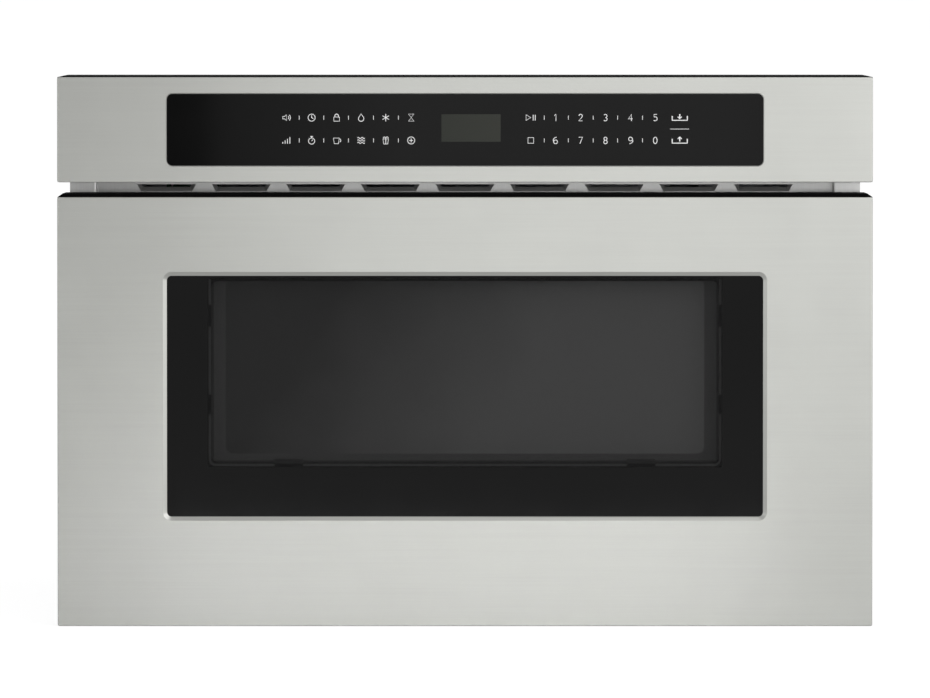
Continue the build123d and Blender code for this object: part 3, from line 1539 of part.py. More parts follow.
# Control panel housing: a moulded tray, open at the back, with the door frame's kind of shoulder and rail
tray_inner_corner = 1.0
tray_glass_play = 2.0
with BuildPart() as panel_housing:
    tray_width = front_width - 2 * skin_sheet - 2 * housing_fit
    tray_height = panel_height - 2 * skin_sheet - 2 * housing_fit
    outline = upright_rectangle(frame_front_y, tray_width, tray_height, panel_mid, panel_corner - skin_sheet)
    extrude(outline, amount=-(shoulder_y - frame_front_y))
    low = panel_bottom + shoulder_inset
    near = shoulder(shoulder_y, shoulder_width, low, panel_top, panel_rail_rise, panel_rail_corner)
    far_width = shoulder_width - 2 * panel_draft
    far = shoulder(-sheet, far_width, low, panel_top, panel_rail_rise, panel_rail_corner)
    loft([near, far])
    tray_width -= 2 * housing_wall
    tray_height -= 2 * housing_wall
    tray_back_y = frame_front_y + housing_wall
    near = upright_rectangle(tray_back_y, tray_width, tray_height, panel_mid, tray_inner_corner)
    far = upright_rectangle(-sheet, tray_width - 2 * panel_draft, tray_height, panel_mid, tray_inner_corner)
    loft([near, far], mode=Mode.SUBTRACT)
    outline = upright_rectangle(
        frame_front_y,
        panel_glass_width + 2 * tray_glass_play,
        panel_glass_height + 2 * tray_glass_play,
        panel_glass_mid,
        panel_glass_corner,
    )
    extrude(outline, amount=-housing_wall, mode=Mode.SUBTRACT)
    with BuildSketch(front(frame_front_y + housing_wall)):
        with Locations(*panel_screws):
            Circle(panel_post_radius)
    extrude(amount=-(recess_depth - frame_front_y - housing_wall))
    with BuildSketch(front(recess_depth)):
        with Locations(*panel_screws):
            Circle(screw_hole_radius)
    extrude(amount=screw_bite, mode=Mode.SUBTRACT)
panel_housing.part.label = "panel_housing"
export_step(panel_housing.part, "parts/panel_housing.step")

# Rack on the drawer: a bar under the cavity with teeth towards the pinion
pitch_length = math.pi * gear_module
pinion_radius = gear_module * pinion_teeth / 2
rack_pitch_x = 7.0
rack_tail = 3.0
pinion_x = rack_pitch_x + pinion_radius
addendum = gear_module
dedendum = 1.25 * gear_module
pressure = math.radians(20)
rack_back_y = rack_first_tooth + rack_teeth * pitch_length + rack_tail
tooth_half = (pitch_length / 2 - gear_backlash) / 2
tip_half = tooth_half - addendum * math.tan(pressure)
root_half = tooth_half + dedendum * math.tan(pressure)
# the pinion has a tooth gap facing the rack at this place, so the rack has a tooth there
rack_shift = (pinion_y - rack_first_tooth) % pitch_length
rack_points = [(rack_pitch_x - dedendum, rack_front_y)]
for tooth in range(rack_teeth):
    middle = rack_first_tooth + rack_shift + tooth * pitch_length
    rack_points += [
        (rack_pitch_x - dedendum, middle - root_half),
        (rack_pitch_x + addendum, middle - tip_half),
        (rack_pitch_x + addendum, middle + tip_half),
        (rack_pitch_x - dedendum, middle + root_half),
    ]
rack_points += [(rack_pitch_x - dedendum, rack_back_y), (-rack_back, rack_back_y), (-rack_back, rack_front_y)]
with BuildPart() as drive_rack:
    with BuildSketch(plan(gear_low)):
        with BuildLine():
            Polyline(*rack_points, close=True)
        make_face()
    extrude(amount=gear_face_width)
drive_rack.part.label = "drive_rack"
export_step(drive_rack.part, "parts/drive_rack.step")

# Rack bracket: an angle from the door's back cover, with a foot under the rack
bracket_low = 6.0
bracket_gap = 3.0
bracket_corner = 3.0
bracket_top = mouth_sill - choke_reach - bracket_gap
foot_reach = 40.0
with BuildPart() as rack_bracket:
    with BuildSketch(front(bracket_y)):
        with Locations((0, (bracket_low + bracket_top) / 2)):
            RectangleRounded(rack_plate_width, bracket_top - bracket_low, bracket_corner)
    extrude(amount=-bracket_sheet)
    foot = (gear_low - bracket_foot, gear_low)
    block((-rack_back, rack_pitch_x - dedendum), (rack_front_y, rack_front_y + foot_reach), foot)
rack_bracket.part.label = "rack_bracket"
export_step(rack_bracket.part, "parts/rack_bracket.step")


# Pinion with involute teeth and its shaft in one piece
def involute_point(base, radius, start_angle, direction):
    roll = math.sqrt((radius / base) ** 2 - 1)
    angle = start_angle + direction * (roll - math.atan(roll))
    return (pinion_x + radius * math.cos(angle), pinion_y + radius * math.sin(angle))


base_radius = pinion_radius * math.cos(pressure)
root_radius = pinion_radius - dedendum
tip_radius = pinion_radius + addendum
involute_at_pitch = math.tan(pressure) - pressure
half_tooth = (pitch_length / 2 - gear_backlash) / 2 / pinion_radius
tooth_points = []
flank_steps = 4
for tooth in range(pinion_teeth):
    # a gap between teeth faces the rack, in the -X direction
    middle = math.pi + (tooth + 0.5) * 2 * math.pi / pinion_teeth
    left = middle - half_tooth - involute_at_pitch
    right = middle + half_tooth + involute_at_pitch
    tooth_points.append((pinion_x + root_radius * math.cos(left), pinion_y + root_radius * math.sin(left)))
    for step in range(flank_steps + 1):
        radius = base_radius + (tip_radius - base_radius) * step / flank_steps
        tooth_points.append(involute_point(base_radius, radius, left, 1))
    for step in range(flank_steps, -1, -1):
        radius = base_radius + (tip_radius - base_radius) * step / flank_steps
        tooth_points.append(involute_point(base_radius, radius, right, -1))
    tooth_points.append((pinion_x + root_radius * math.cos(right), pinion_y + root_radius * math.sin(right)))
gearbox_height = 22.0
shaft_lift = 6.0
shaft_top = 5.0
shaft_low = sheet + shaft_lift
with BuildPart() as drive_pinion:
    with BuildSketch(plan(gear_low)):
        with BuildLine():
            Polyline(*tooth_points, close=True)
        make_face()
    extrude(amount=gear_face_width)
    with BuildSketch(plan(shaft_low)):
        with Locations((pinion_x, pinion_y)):
            Circle(pinion_shaft_radius)
    extrude(amount=gear_low + gear_face_width + shaft_top - shaft_low)
drive_pinion.part.label = "drive_pinion"
export_step(drive_pinion.part, "parts/drive_pinion.step")

# Drive motor: gearbox under the pinion and a motor can lying behind it
gearbox_width = 80.0
gearbox_depth = 64.0
gearbox_corner = 8.0
gearbox_round = 2.0
gearbox_side = 20.0
gearbox_front = 24.0
can_radius = 17.0
can_length = 52.0
can_round = 3.0
can_offset = 38.0
can_lift = 1.0
mount_width = 32.0
mount_depth = 26.0
mount_reach = 6.0
shaft_end_play = 1.0
gearbox_back_y = pinion_y - gearbox_front + gearbox_depth
can_x = pinion_x + can_offset
with BuildPart() as drive_motor:
    with BuildSketch(plan(sheet)):
        with Locations((pinion_x - gearbox_side + gearbox_width / 2, gearbox_back_y - gearbox_depth / 2)):
            RectangleRounded(gearbox_width, gearbox_depth, gearbox_corner)
    extrude(amount=gearbox_height)
    fillet(drive_motor.faces().sort_by(Axis.Z)[-1].edges(), gearbox_round)
    mount_back = gearbox_back_y + mount_reach
    block(
        (can_x - mount_width / 2, can_x + mount_width / 2),
        (mount_back - mount_depth, mount_back),
        (sheet, sheet + 2 * can_radius),
    )
    with BuildSketch(front(mount_back)):
        with Locations((can_x, sheet + can_radius + can_lift)):
            Circle(can_radius)
    extrude(amount=-can_length)
    fillet(drive_motor.faces().sort_by(Axis.Y)[-1].edges(), can_round)
    with BuildSketch(plan(shaft_low - shaft_end_play)):
        with Locations((pinion_x, pinion_y)):
            Circle(pinion_shaft_radius + shaft_clearance)
    extrude(amount=gearbox_height, mode=Mode.SUBTRACT)
drive_motor.part.label = "drive_motor"
export_step(drive_motor.part, "parts/drive_motor.step")

# Rack guide: a slotted block that keeps the rack against the pinion
guide_gap = 0.4
guide_block_width = 14.0
guide_block_length = 40.0
guide_ledge = 5.0
guide_round = 2.0
with BuildPart() as rack_guide:
    block_left = -rack_back - guide_block_width
    block_y = (pinion_y - guide_block_length / 2, pinion_y + guide_block_length / 2)
    block((block_left, -rack_back - guide_gap), block_y, (sheet, gear_low + gear_face_width))
    block((block_left, -rack_back + guide_ledge), block_y, (sheet, gear_low - bracket_foot - guide_gap))
    fillet(rack_guide.edges().filter_by(Axis.Y).sort_by(Axis.Z)[-2:], guide_round)
rack_guide.part.label = "rack_guide"
export_step(rack_guide.part, "parts/rack_guide.step")

# Latch tongues on the door's back cover
tongue_sheet = 3.0
tongue_height = 16.0
tongue_tip = 38.0
tongue_nose = 4.0
tongue_nose_rise = 5.0
tongue_foot_half = 8.0
tongue_foot_height = 28.0
tongue_foot_sheet = 2.0
tongue_reach = tongue_tip - tongue_nose
with BuildPart() as latch_tongues:
    for sign in (-1, 1):
        with BuildSketch(side(sign * tongue_x - tongue_sheet / 2)):
            with BuildLine():
                Polyline(
                    (bracket_y, tongue_z - tongue_height / 2),
                    (tongue_reach, tongue_z - tongue_height / 2),
                    (tongue_tip, tongue_z - tongue_height / 2 + tongue_nose_rise),
                    (tongue_tip, tongue_z + tongue_height / 2 - tongue_nose_rise),
                    (tongue_reach, tongue_z + tongue_height / 2),
                    (bracket_y, tongue_z + tongue_height / 2),
                    close=True,
                )
            make_face()
        extrude(amount=tongue_sheet)
        block(
            sorted((sign * (tongue_x - tongue_foot_half), sign * (tongue_x + tongue_foot_half))),
            (bracket_y, bracket_y + tongue_foot_sheet),
            (tongue_z - tongue_foot_height / 2, tongue_z + tongue_foot_height / 2),
        )
latch_tongues.part.label = "latch_tongues"
export_step(latch_tongues.part, "parts/latch_tongues.step")

# Interlock bracket behind the bulkhead, beside the right tongue, with two stacked switches
switch_y = 24.0
switch_length = 28.0
switch_width = 9.0
switch_height = 15.0
switch_gap = 2.0
switch_corner = 1.0
switch_margin = 4.0
interlock_sheet = 1.5
interlock_height = 48.0
interlock_foot = 10.0
lever_gap = 1.7
web_gap = 16.0
web_x = tongue_x - web_gap
web_back_y = switch_y + switch_length + switch_margin
switch_face_x = web_x + interlock_sheet + switch_width
lever_axis_x = switch_face_x + lever_gap
lever_setback = 2.0
lever_axis_y = switch_y + switch_length - lever_setback
with BuildPart() as interlock_bracket:
    with BuildSketch(plan(tongue_z - interlock_height / 2)):
        with BuildLine():
            Polyline(
                (web_x + interlock_foot, bulkhead_back),
                (web_x, bulkhead_back),
                (web_x, web_back_y),
                (web_x + interlock_sheet, web_back_y),
                (web_x + interlock_sheet, bulkhead_back + interlock_sheet),
                (web_x + interlock_foot, bulkhead_back + interlock_sheet),
                close=True,
            )
        make_face()
    extrude(amount=interlock_height)
interlock_bracket.part.label = "interlock_bracket"
export_step(interlock_bracket.part, "parts/interlock_bracket.step")

# Each switch has two ears that hold its lever's pin
switch_lows = (tongue_z - switch_gap / 2 - switch_height, tongue_z + switch_gap / 2)
lever_height = 7.0
lever_pin_radius = 0.5
lever_ear = 1.2
lever_ear_gap = 0.2
lever_rise = (switch_height - lever_height) / 2
with BuildPart() as interlock_switches:
    for low in switch_lows:
        with BuildSketch(plan(low)):
            with Locations((switch_face_x - switch_width / 2, switch_y + switch_length / 2)):
                RectangleRounded(switch_width, switch_length, switch_corner)
        extrude(amount=switch_height)
        pin_low = low + lever_rise - lever_ear_gap - lever_ear
        pin_high = low + lever_rise + lever_height + lever_ear_gap + lever_ear
        with BuildSketch(plan(pin_low)):
            with Locations((lever_axis_x, lever_axis_y)):
                Circle(lever_pin_radius)
        extrude(amount=pin_high - pin_low)
        ear_y = (lever_axis_y - lever_ear, lever_axis_y + lever_ear)
        for ear_low in (pin_low, pin_high - lever_ear):
            ear_z = (ear_low, ear_low + lever_ear)
            block((switch_face_x - switch_corner, lever_axis_x + lever_ear), ear_y, ear_z)
interlock_switches.part.label = "interlock_switches"
export_step(interlock_switches.part, "parts/interlock_switches.step")

# Switch levers, one over the other on a common upright axis, pressed by the tongue when the drawer is shut
lever_sheet = 0.8
lever_roller = 0.9
lever_foot_gap = 0.1
lever_eye_radius = 1.2
lever_pin_play = 0.1
roller_setback = 5.0
roller_y = switch_y + roller_setback
with BuildPart() as interlock_levers:
    for low in switch_lows:
        with BuildSketch(plan(low + lever_rise)):
            with Locations((lever_axis_x, (roller_y + lever_axis_y) / 2)):
                Rectangle(lever_sheet, lever_axis_y - roller_y + lever_sheet)
            with Locations(((switch_face_x + lever_foot_gap + lever_axis_x) / 2, lever_axis_y)):
                Rectangle(lever_gap - lever_foot_gap, lever_sheet)
            with Locations((lever_axis_x + lever_sheet, roller_y)):
                Circle(lever_roller)
            with Locations((lever_axis_x, lever_axis_y)):
                Circle(lever_eye_radius)
                Circle(lever_pin_radius + lever_pin_play, mode=Mode.SUBTRACT)
        extrude(amount=lever_height)
interlock_levers.part.label = "interlock_levers"
export_step(interlock_levers.part, "parts/interlock_levers.step")

# Cavity lamp over the perforated patch in the ceiling
lamp_width = 52.0
lamp_length = 40.0
lamp_height = 26.0
lamp_corner = 4.0
lamp_wall = 2.0
lamp_holder_radius = 11.0
lamp_holder_height = 16.0
with BuildPart() as cavity_lamp:
    with BuildSketch(plan(guide_low)):
        with Locations((lamp_x, lamp_y)):
            RectangleRounded(lamp_width, lamp_length, lamp_corner)
    extrude(amount=lamp_height)
    with BuildSketch(plan(guide_low)):
        with Locations((lamp_x, lamp_y)):
            RectangleRounded(lamp_width - 2 * lamp_wall, lamp_length - 2 * lamp_wall, lamp_corner - lamp_wall)
    extrude(amount=lamp_height - lamp_wall, mode=Mode.SUBTRACT)
    with BuildSketch(plan(guide_low + lamp_height)):
        with Locations((lamp_x, lamp_y)):
            Circle(lamp_holder_radius)
    extrude(amount=lamp_holder_height)
cavity_lamp.part.label = "cavity_lamp"
export_step(cavity_lamp.part, "parts/cavity_lamp.step")

# Power board over the cavity, on four posts
power_inset = 53.0
power_setback = 133.8
power_width = 150.0
power_length = 190.0
power_corner = 3.0
power_sheet = 1.6
power_post = 10.0
post_inset = 7.0
post_radius = 3.0
relay_count = 4
relay_width = 20.0
relay_depth = 16.0
relay_height = 16.0
relay_pitch = 30.0
board_transformer_width = 40.0
board_transformer_depth = 36.0
board_transformer_height = 32.0
connector_width = 40.0
connector_depth = 12.0
connector_height = 12.0
can_capacitor_radius = 8.0
can_capacitor_height = 20.0
choke_ring_radius = 16.0
choke_ring_bore = 7.0
part_gap = 20.0
power_x = -(mouth_width / 2 - power_inset)
power_y = bulkhead_back + power_setback
board_low = guide_low + power_post
board_top = board_low + power_sheet
with BuildPart() as power_board:
    with BuildSketch(plan(guide_low)):
        with Locations((power_x, power_y)):
            with GridLocations(power_width - 2 * post_inset, power_length - 2 * post_inset, 2, 2):
                Circle(post_radius)
    extrude(amount=power_post)
    with BuildSketch(plan(board_low)):
        with Locations((power_x, power_y)):
            RectangleRounded(power_width, power_length, power_corner)
    extrude(amount=power_sheet)
    relay_y = power_y - power_length / 2 + relay_depth
    with BuildSketch(plan(board_top)):
        with Locations((power_x, relay_y)):
            with GridLocations(relay_pitch, 0, relay_count, 1):
                Rectangle(relay_width, relay_depth)
    extrude(amount=relay_height)
    with BuildSketch(plan(board_top)):
        with Locations((power_x - relay_pitch, power_y - part_gap)):
            Rectangle(board_transformer_width, board_transformer_depth)
    extrude(amount=board_transformer_height)
    with BuildSketch(plan(board_top)):
        with Locations((power_x + connector_width, power_y + power_length / 2 - 2 * connector_depth)):
            Rectangle(connector_width, connector_depth)
    extrude(amount=connector_height)
    with BuildSketch(plan(board_top)):
        with Locations((power_x + relay_pitch, power_y - part_gap)):
            with GridLocations(part_gap, 0, 2, 1):
                Circle(can_capacitor_radius)
        with Locations((power_x - relay_pitch, power_y + 2 * part_gap)):
            Circle(choke_ring_radius)
            Circle(choke_ring_bore, mode=Mode.SUBTRACT)
    extrude(amount=can_capacitor_height)
power_board.part.label = "power_board"
export_step(power_board.part, "parts/power_board.step")

# Thermal cut-outs on the cavity's ceiling, one each side of the waveguide
cutout_x = 80.0
cutout_setback = 51.0
cutout_ear_span = 30.0
cutout_ear_width = 9.0
cutout_ear_sheet = 0.8
cutout_radius = 8.0
cutout_height = 9.0
with BuildPart() as thermal_cutouts:
    with BuildSketch(plan(guide_low)):
        with Locations((0, cavity_back - cutout_setback)):
            with GridLocations(2 * cutout_x, 0, 2, 1):
                SlotOverall(cutout_ear_span, cutout_ear_width)
    extrude(amount=cutout_ear_sheet)
    with BuildSketch(plan(guide_low)):
        with Locations((0, cavity_back - cutout_setback)):
            with GridLocations(2 * cutout_x, 0, 2, 1):
                Circle(cutout_radius)
    extrude(amount=cutout_height)
thermal_cutouts.part.label = "thermal_cutouts"
export_step(thermal_cutouts.part, "parts/thermal_cutouts.step")


# Screws: hexagon heads with a short shank, drawn on the plane under the head
def screws(plane, places, head_side):
    with BuildSketch(plane) as heads:
        with Locations(*places):
            RegularPolygon(screw_head_across / 2, 6, major_radius=False)
    extrude(heads.sketch, amount=head_side * screw_head)
    with BuildSketch(plane) as shanks:
        with Locations(*places):
            Circle(screw_shank_radius)
    extrude(shanks.sketch, amount=-head_side * (screw_bite - screw_end_gap))


with BuildPart() as chassis_screws:
    screws(plan(body_height), casing_screws, 1)
    screws(front(body_depth), back_screws, -1)
    screws(front(bulkhead_back), panel_screws, -1)
chassis_screws.part.label = "chassis_screws"
export_step(chassis_screws.part, "parts/chassis_screws.step")

with BuildPart() as door_screws:
    screws(front(bracket_y), door_screws_at, -1)
door_screws.part.label = "door_screws"
export_step(door_screws.part, "parts/door_screws.step")
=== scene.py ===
import math

import bmesh
import bpy
from mathutils import Matrix, Vector


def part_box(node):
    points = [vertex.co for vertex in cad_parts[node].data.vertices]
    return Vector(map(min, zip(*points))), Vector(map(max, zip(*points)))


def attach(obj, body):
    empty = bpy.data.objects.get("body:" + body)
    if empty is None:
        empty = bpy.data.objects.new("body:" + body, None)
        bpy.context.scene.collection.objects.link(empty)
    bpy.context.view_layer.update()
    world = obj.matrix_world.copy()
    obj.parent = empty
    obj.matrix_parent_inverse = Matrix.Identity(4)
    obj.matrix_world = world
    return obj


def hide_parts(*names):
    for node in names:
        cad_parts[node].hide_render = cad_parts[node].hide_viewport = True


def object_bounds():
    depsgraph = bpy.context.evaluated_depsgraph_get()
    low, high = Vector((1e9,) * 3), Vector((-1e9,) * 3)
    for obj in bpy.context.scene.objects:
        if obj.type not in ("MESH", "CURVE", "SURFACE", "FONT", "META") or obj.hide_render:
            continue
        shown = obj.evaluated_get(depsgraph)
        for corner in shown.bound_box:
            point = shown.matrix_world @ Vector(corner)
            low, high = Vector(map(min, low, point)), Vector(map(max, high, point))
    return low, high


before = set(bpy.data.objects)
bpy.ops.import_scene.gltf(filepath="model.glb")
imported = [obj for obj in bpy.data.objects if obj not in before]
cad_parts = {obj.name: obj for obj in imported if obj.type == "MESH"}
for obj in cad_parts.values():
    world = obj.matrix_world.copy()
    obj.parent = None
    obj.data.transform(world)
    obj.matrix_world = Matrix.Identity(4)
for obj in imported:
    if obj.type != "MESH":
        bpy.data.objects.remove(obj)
cadLow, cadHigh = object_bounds()
mm = 0.001
print("frame loaded with", len(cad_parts), "nodes")

cameraView = {
    "aim": (0.0, -31.2, 187.5),  # mm, a little above the middle of the front
    "distance": 10.0,  # metres
    "elevation": 2.6,  # degrees, so low that the front hides the casing
    "lens": 520.5,
    "sensor": 36.0,
}


def makeCamera(view):
    data = bpy.data.cameras.new("photoCamera")
    data.lens = view["lens"]
    data.sensor_width = view["sensor"]
    data.clip_end = 100.0
    camera = bpy.data.objects.new("photoCamera", data)
    bpy.context.scene.collection.objects.link(camera)
    tilt = math.radians(view["elevation"])
    away = Vector((0.0, -math.cos(tilt), math.sin(tilt)))
    camera.location = Vector(view["aim"]) * mm + away * view["distance"]
    camera.rotation_mode = "QUATERNION"
    camera.rotation_quaternion = (-away).to_track_quat("-Z", "Y")
    bpy.context.scene.camera = camera


makeCamera(cameraView)
print("camera placed")


# short forms for the shader nodes that nearly every finish uses
def addNode(tree, kind, **settings):
    node = tree.nodes.new(kind)
    for name, value in settings.items():
        setattr(node, name, value)
    return node


def objectPoint(tree, stretch=(1.0, 1.0, 1.0)):
    place = addNode(tree, "ShaderNodeTexCoord")
    mapping = addNode(tree, "ShaderNodeMapping")
    mapping.inputs["Scale"].default_value = stretch
    tree.links.new(place.outputs["Object"], mapping.inputs["Vector"])
    return mapping.outputs["Vector"]


def axisOf(tree, axis):
    split = addNode(tree, "ShaderNodeSeparateXYZ")
    tree.links.new(objectPoint(tree), split.inputs["Vector"])
    return split.outputs[axis]


def noise(tree, point, scale, detail=3.0):
    node = addNode(tree, "ShaderNodeTexNoise")
    node.inputs["Scale"].default_value = scale
    node.inputs["Detail"].default_value = detail
    node.inputs["Roughness"].default_value = 0.55
    tree.links.new(point, node.inputs["Vector"])
    return node.outputs["Fac"]


def cellShade(tree, point, scale):
    # one random grey for each cell
    node = addNode(tree, "ShaderNodeTexVoronoi")
    node.inputs["Scale"].default_value = scale
    tree.links.new(point, node.inputs["Vector"])
    split = addNode(tree, "ShaderNodeSeparateColor")
    tree.links.new(node.outputs["Color"], split.inputs["Color"])
    return split.outputs[0]


def spread(tree, value, low, high, fromLow=0.0, fromHigh=1.0):
    node = addNode(tree, "ShaderNodeMapRange", clamp=True)
    node.inputs["From Min"].default_value = fromLow
    node.inputs["From Max"].default_value = fromHigh
    node.inputs["To Min"].default_value = low
    node.inputs["To Max"].default_value = high
    tree.links.new(value, node.inputs["Value"])
    return node.outputs["Result"]


def maths(tree, operation, first, second=None):
    node = addNode(tree, "ShaderNodeMath", operation=operation)
    for socket, value in zip(node.inputs, (first, second)):
        if value is None:
            continue
        if isinstance(value, (int, float)):
            socket.default_value = value
        else:
            tree.links.new(value, socket)
    return node.outputs[0]


def blendOf(tree, *shares):
    # adds up (value, share) pairs
    total = None
    for value, share in shares:
        part = maths(tree, "MULTIPLY", value, share)
        total = part if total is None else maths(tree, "ADD", total, part)
    return total


def tint(tree, factor, first, second):
    node = addNode(tree, "ShaderNodeMix", data_type="RGBA")
    tree.links.new(factor, node.inputs["Factor"])
    for name, colour in (("A", first), ("B", second)):
        socket = [s for s in node.inputs if s.name == name and s.type == "RGBA"][0]
        if isinstance(colour, tuple):
            socket.default_value = (*colour, 1.0)
        else:
            tree.links.new(colour, socket)
    return [s for s in node.outputs if s.type == "RGBA"][0]


def relief(tree, height, depth, strength):
    node = addNode(tree, "ShaderNodeBump")
    node.inputs["Strength"].default_value = strength
    node.inputs["Distance"].default_value = depth
    tree.links.new(height, node.inputs["Height"])
    return node.outputs["Normal"]


def insideBox(tree, across, up, soft=0.4, corner=0.5):
    # 1 inside a box with rounded corners in front view, given in mm, 0 outside
    reaches = []
    for axis, (low, high) in (("X", across), ("Z", up)):
        away = maths(tree, "ABSOLUTE", maths(tree, "SUBTRACT", axisOf(tree, axis), (low + high) / 2 * mm))
        reaches.append(maths(tree, "SUBTRACT", away, ((high - low) / 2 - corner) * mm))
    squares = [maths(tree, "POWER", maths(tree, "MAXIMUM", reach, 0.0), 2.0) for reach in reaches]
    outside = maths(tree, "SQRT", maths(tree, "ADD", *squares))
    inside = maths(tree, "MINIMUM", maths(tree, "MAXIMUM", *reaches), 0.0)
    edge = soft * mm
    return spread(tree, maths(tree, "ADD", outside, inside), 1.0, 0.0, corner * mm - edge, corner * mm + edge)


def startMaterial(name, **constants):
    made = bpy.data.materials.new(name)
    made.use_nodes = True
    tree = made.node_tree
    shader = tree.nodes["Principled BSDF"]
    for socket, value in constants.items():
        shader.inputs[socket.replace("_", " ")].default_value = value
    return made, tree, shader


def feed(tree, shader, **sockets):
    for socket, value in sockets.items():
        tree.links.new(value, shader.inputs[socket.replace("_", " ")])


frontSteel = {
    "light": (0.396, 0.400, 0.380),
    "dark": (0.363, 0.366, 0.348),
    "roughness": (0.29, 0.33),
    "anisotropy": 0.55,
    "grain": (12.0, 2600.0, 2600.0),  # brush lines for each metre
    "streaks": (3.0, 260.0, 260.0),
    "clouds": 22.0,
    "grooveDepth": 0.004,  # mm
}
slideZinc = {
    "light": (0.66, 0.67, 0.68),
    "dark": (0.52, 0.53, 0.54),
    "roughness": (0.22, 0.34),
    "anisotropy": 0.2,
    "grain": (2200.0, 14.0, 2200.0),  # rolled along the slides
    "streaks": (240.0, 4.0, 240.0),
    "clouds": 30.0,
    "grooveDepth": 0.004,
}


def brushedMetal(name, metal):
    made, tree, shader = startMaterial(
        name, Metallic=1.0, Anisotropic=metal["anisotropy"], Anisotropic_Rotation=0.25
    )
    lines = noise(tree, objectPoint(tree, metal["grain"]), 1.0, 2.0)
    streaks = noise(tree, objectPoint(tree, metal["streaks"]), 1.0, 3.0)
    clouds = noise(tree, objectPoint(tree), metal["clouds"], 2.0)
    wear = blendOf(tree, (lines, 0.4), (streaks, 0.25), (clouds, 0.35))
    feed(
        tree,
        shader,
        Base_Color=tint(tree, spread(tree, wear, 0.0, 1.0, 0.3, 0.7), metal["dark"], metal["light"]),
        Roughness=spread(tree, wear, *metal["roughness"], 0.3, 0.7),
        Normal=relief(tree, lines, metal["grooveDepth"] * mm, 0.5),
    )
    return made


flangeSheet = {
    "light": (0.61, 0.61, 0.60),
    "dark": (0.54, 0.54, 0.53),
    "roughness": (0.18, 0.26),
    "rolling": (900.0, 900.0, 30.0),  # marks for each metre
    "patches": 35.0,
    "rollDepth": 0.006,  # mm
    "metallic": 0.38,
    "specular": 0.4,
}


def rolledSheet(name, sheet):
    # plain cold-rolled strip, part mirror and part matt
    made, tree, shader = startMaterial(
        name, Metallic=sheet["metallic"], Specular_IOR_Level=sheet["specular"]
    )
    rolling = noise(tree, objectPoint(tree, sheet["rolling"]), 1.0, 3.0)
    patches = noise(tree, objectPoint(tree), sheet["patches"], 3.0)
    wear = blendOf(tree, (rolling, 0.5), (patches, 0.5))
    feed(
        tree,
        shader,
        Base_Color=tint(tree, spread(tree, wear, 0.0, 1.0, 0.3, 0.7), sheet["dark"], sheet["light"]),
        Roughness=spread(tree, wear, *sheet["roughness"], 0.3, 0.7),
        Normal=relief(tree, rolling, sheet["rollDepth"] * mm, 0.4),
    )
    return made


zincCoat = {
    "light": (0.56, 0.57, 0.58),
    "dark": (0.42, 0.43, 0.45),
    "spangle": 95.0,  # crystals for each metre
    "smallSpangle": 218.5,
    "clouds": 60.0,
    "texture": 420.0,
    "textureDepth": 0.02,  # mm
    "roughness": (0.5, 0.64),
    "metallic": 0.5,
    "specular": 0.2,
}


def galvanisedSheet(name, coat):
    made, tree, shader = startMaterial(name, Metallic=coat["metallic"], Specular_IOR_Level=coat["specular"])
    point = objectPoint(tree)
    crystals = cellShade(tree, point, coat["spangle"])
    smallCrystals = cellShade(tree, point, coat["smallSpangle"])
    clouds = noise(tree, point, coat["clouds"], 2.0)
    texture = noise(tree, point, coat["texture"], 3.0)
    shade = blendOf(tree, (crystals, 0.4), (smallCrystals, 0.2), (clouds, 0.4))
    feed(
        tree,
        shader,
        Base_Color=tint(tree, spread(tree, shade, 0.0, 1.0, 0.15, 0.85), coat["dark"], coat["light"]),
        Roughness=spread(tree, shade, *coat["roughness"], 0.2, 0.8),
        Normal=relief(tree, texture, coat["textureDepth"] * mm, 0.4),
    )
    return made


mouldedGrain = {
    "speckle": 900.0,  # grains for each metre
    "clouds": 9.0,
    "depth": 0.01,  # mm
}


def mouldedSurface(name, light, dark, roughness, **constants):
    # fine grain over slow clouds: plastics, paints and small cast or drawn parts
    made, tree, shader = startMaterial(name, **constants)
    point = objectPoint(tree)
    grains = noise(tree, point, mouldedGrain["speckle"], 3.0)
    clouds = noise(tree, point, mouldedGrain["clouds"], 3.0)
    wear = blendOf(tree, (grains, 0.5), (clouds, 0.5))
    feed(
        tree,
        shader,
        Base_Color=tint(tree, spread(tree, wear, 0.0, 1.0, 0.35, 0.65), dark, light),
        Roughness=spread(tree, wear, *roughness, 0.35, 0.65),
        Normal=relief(tree, grains, mouldedGrain["depth"] * mm, 0.6),
    )
    return made


transformerLook = {
    "plate": 0.5,  # mm, thickness of one core plate
    "core": (0.15, 0.15, 0.16),
    "gap": (0.05, 0.05, 0.055),
    "grain": 700.0,  # for each metre
    "plateRelief": 0.05,  # mm
}


def laminatedCore(name, look):
    made, tree, shader = startMaterial(name, Metallic=0.7)
    sawtooth = maths(tree, "FRACT", maths(tree, "DIVIDE", axisOf(tree, "Y"), look["plate"] * mm))
    plates = spread(tree, sawtooth, 0.0, 1.0, 0.1, 0.25)
    grains = noise(tree, objectPoint(tree), look["grain"], 3.0)
    feed(
        tree,
        shader,
        Base_Color=tint(tree, maths(tree, "MULTIPLY", plates, grains), look["gap"], look["core"]),
        Roughness=spread(tree, grains, 0.4, 0.6),
        Normal=relief(tree, plates, look["plateRelief"] * mm, 0.5),
    )
    return made


boardLook = {
    "mask": (0.012, 0.09, 0.04),
    "track": (0.025, 0.16, 0.07),
    "pad": (0.45, 0.43, 0.40),
    "trackPitch": 3.2,  # mm
    "trackGap": 0.12,  # share of the pitch
    "trackRelief": 0.03,  # mm
    "padCells": 260.0,  # for each metre
    "padShare": (0.9, 0.92),  # the cells above this shade are pads
}


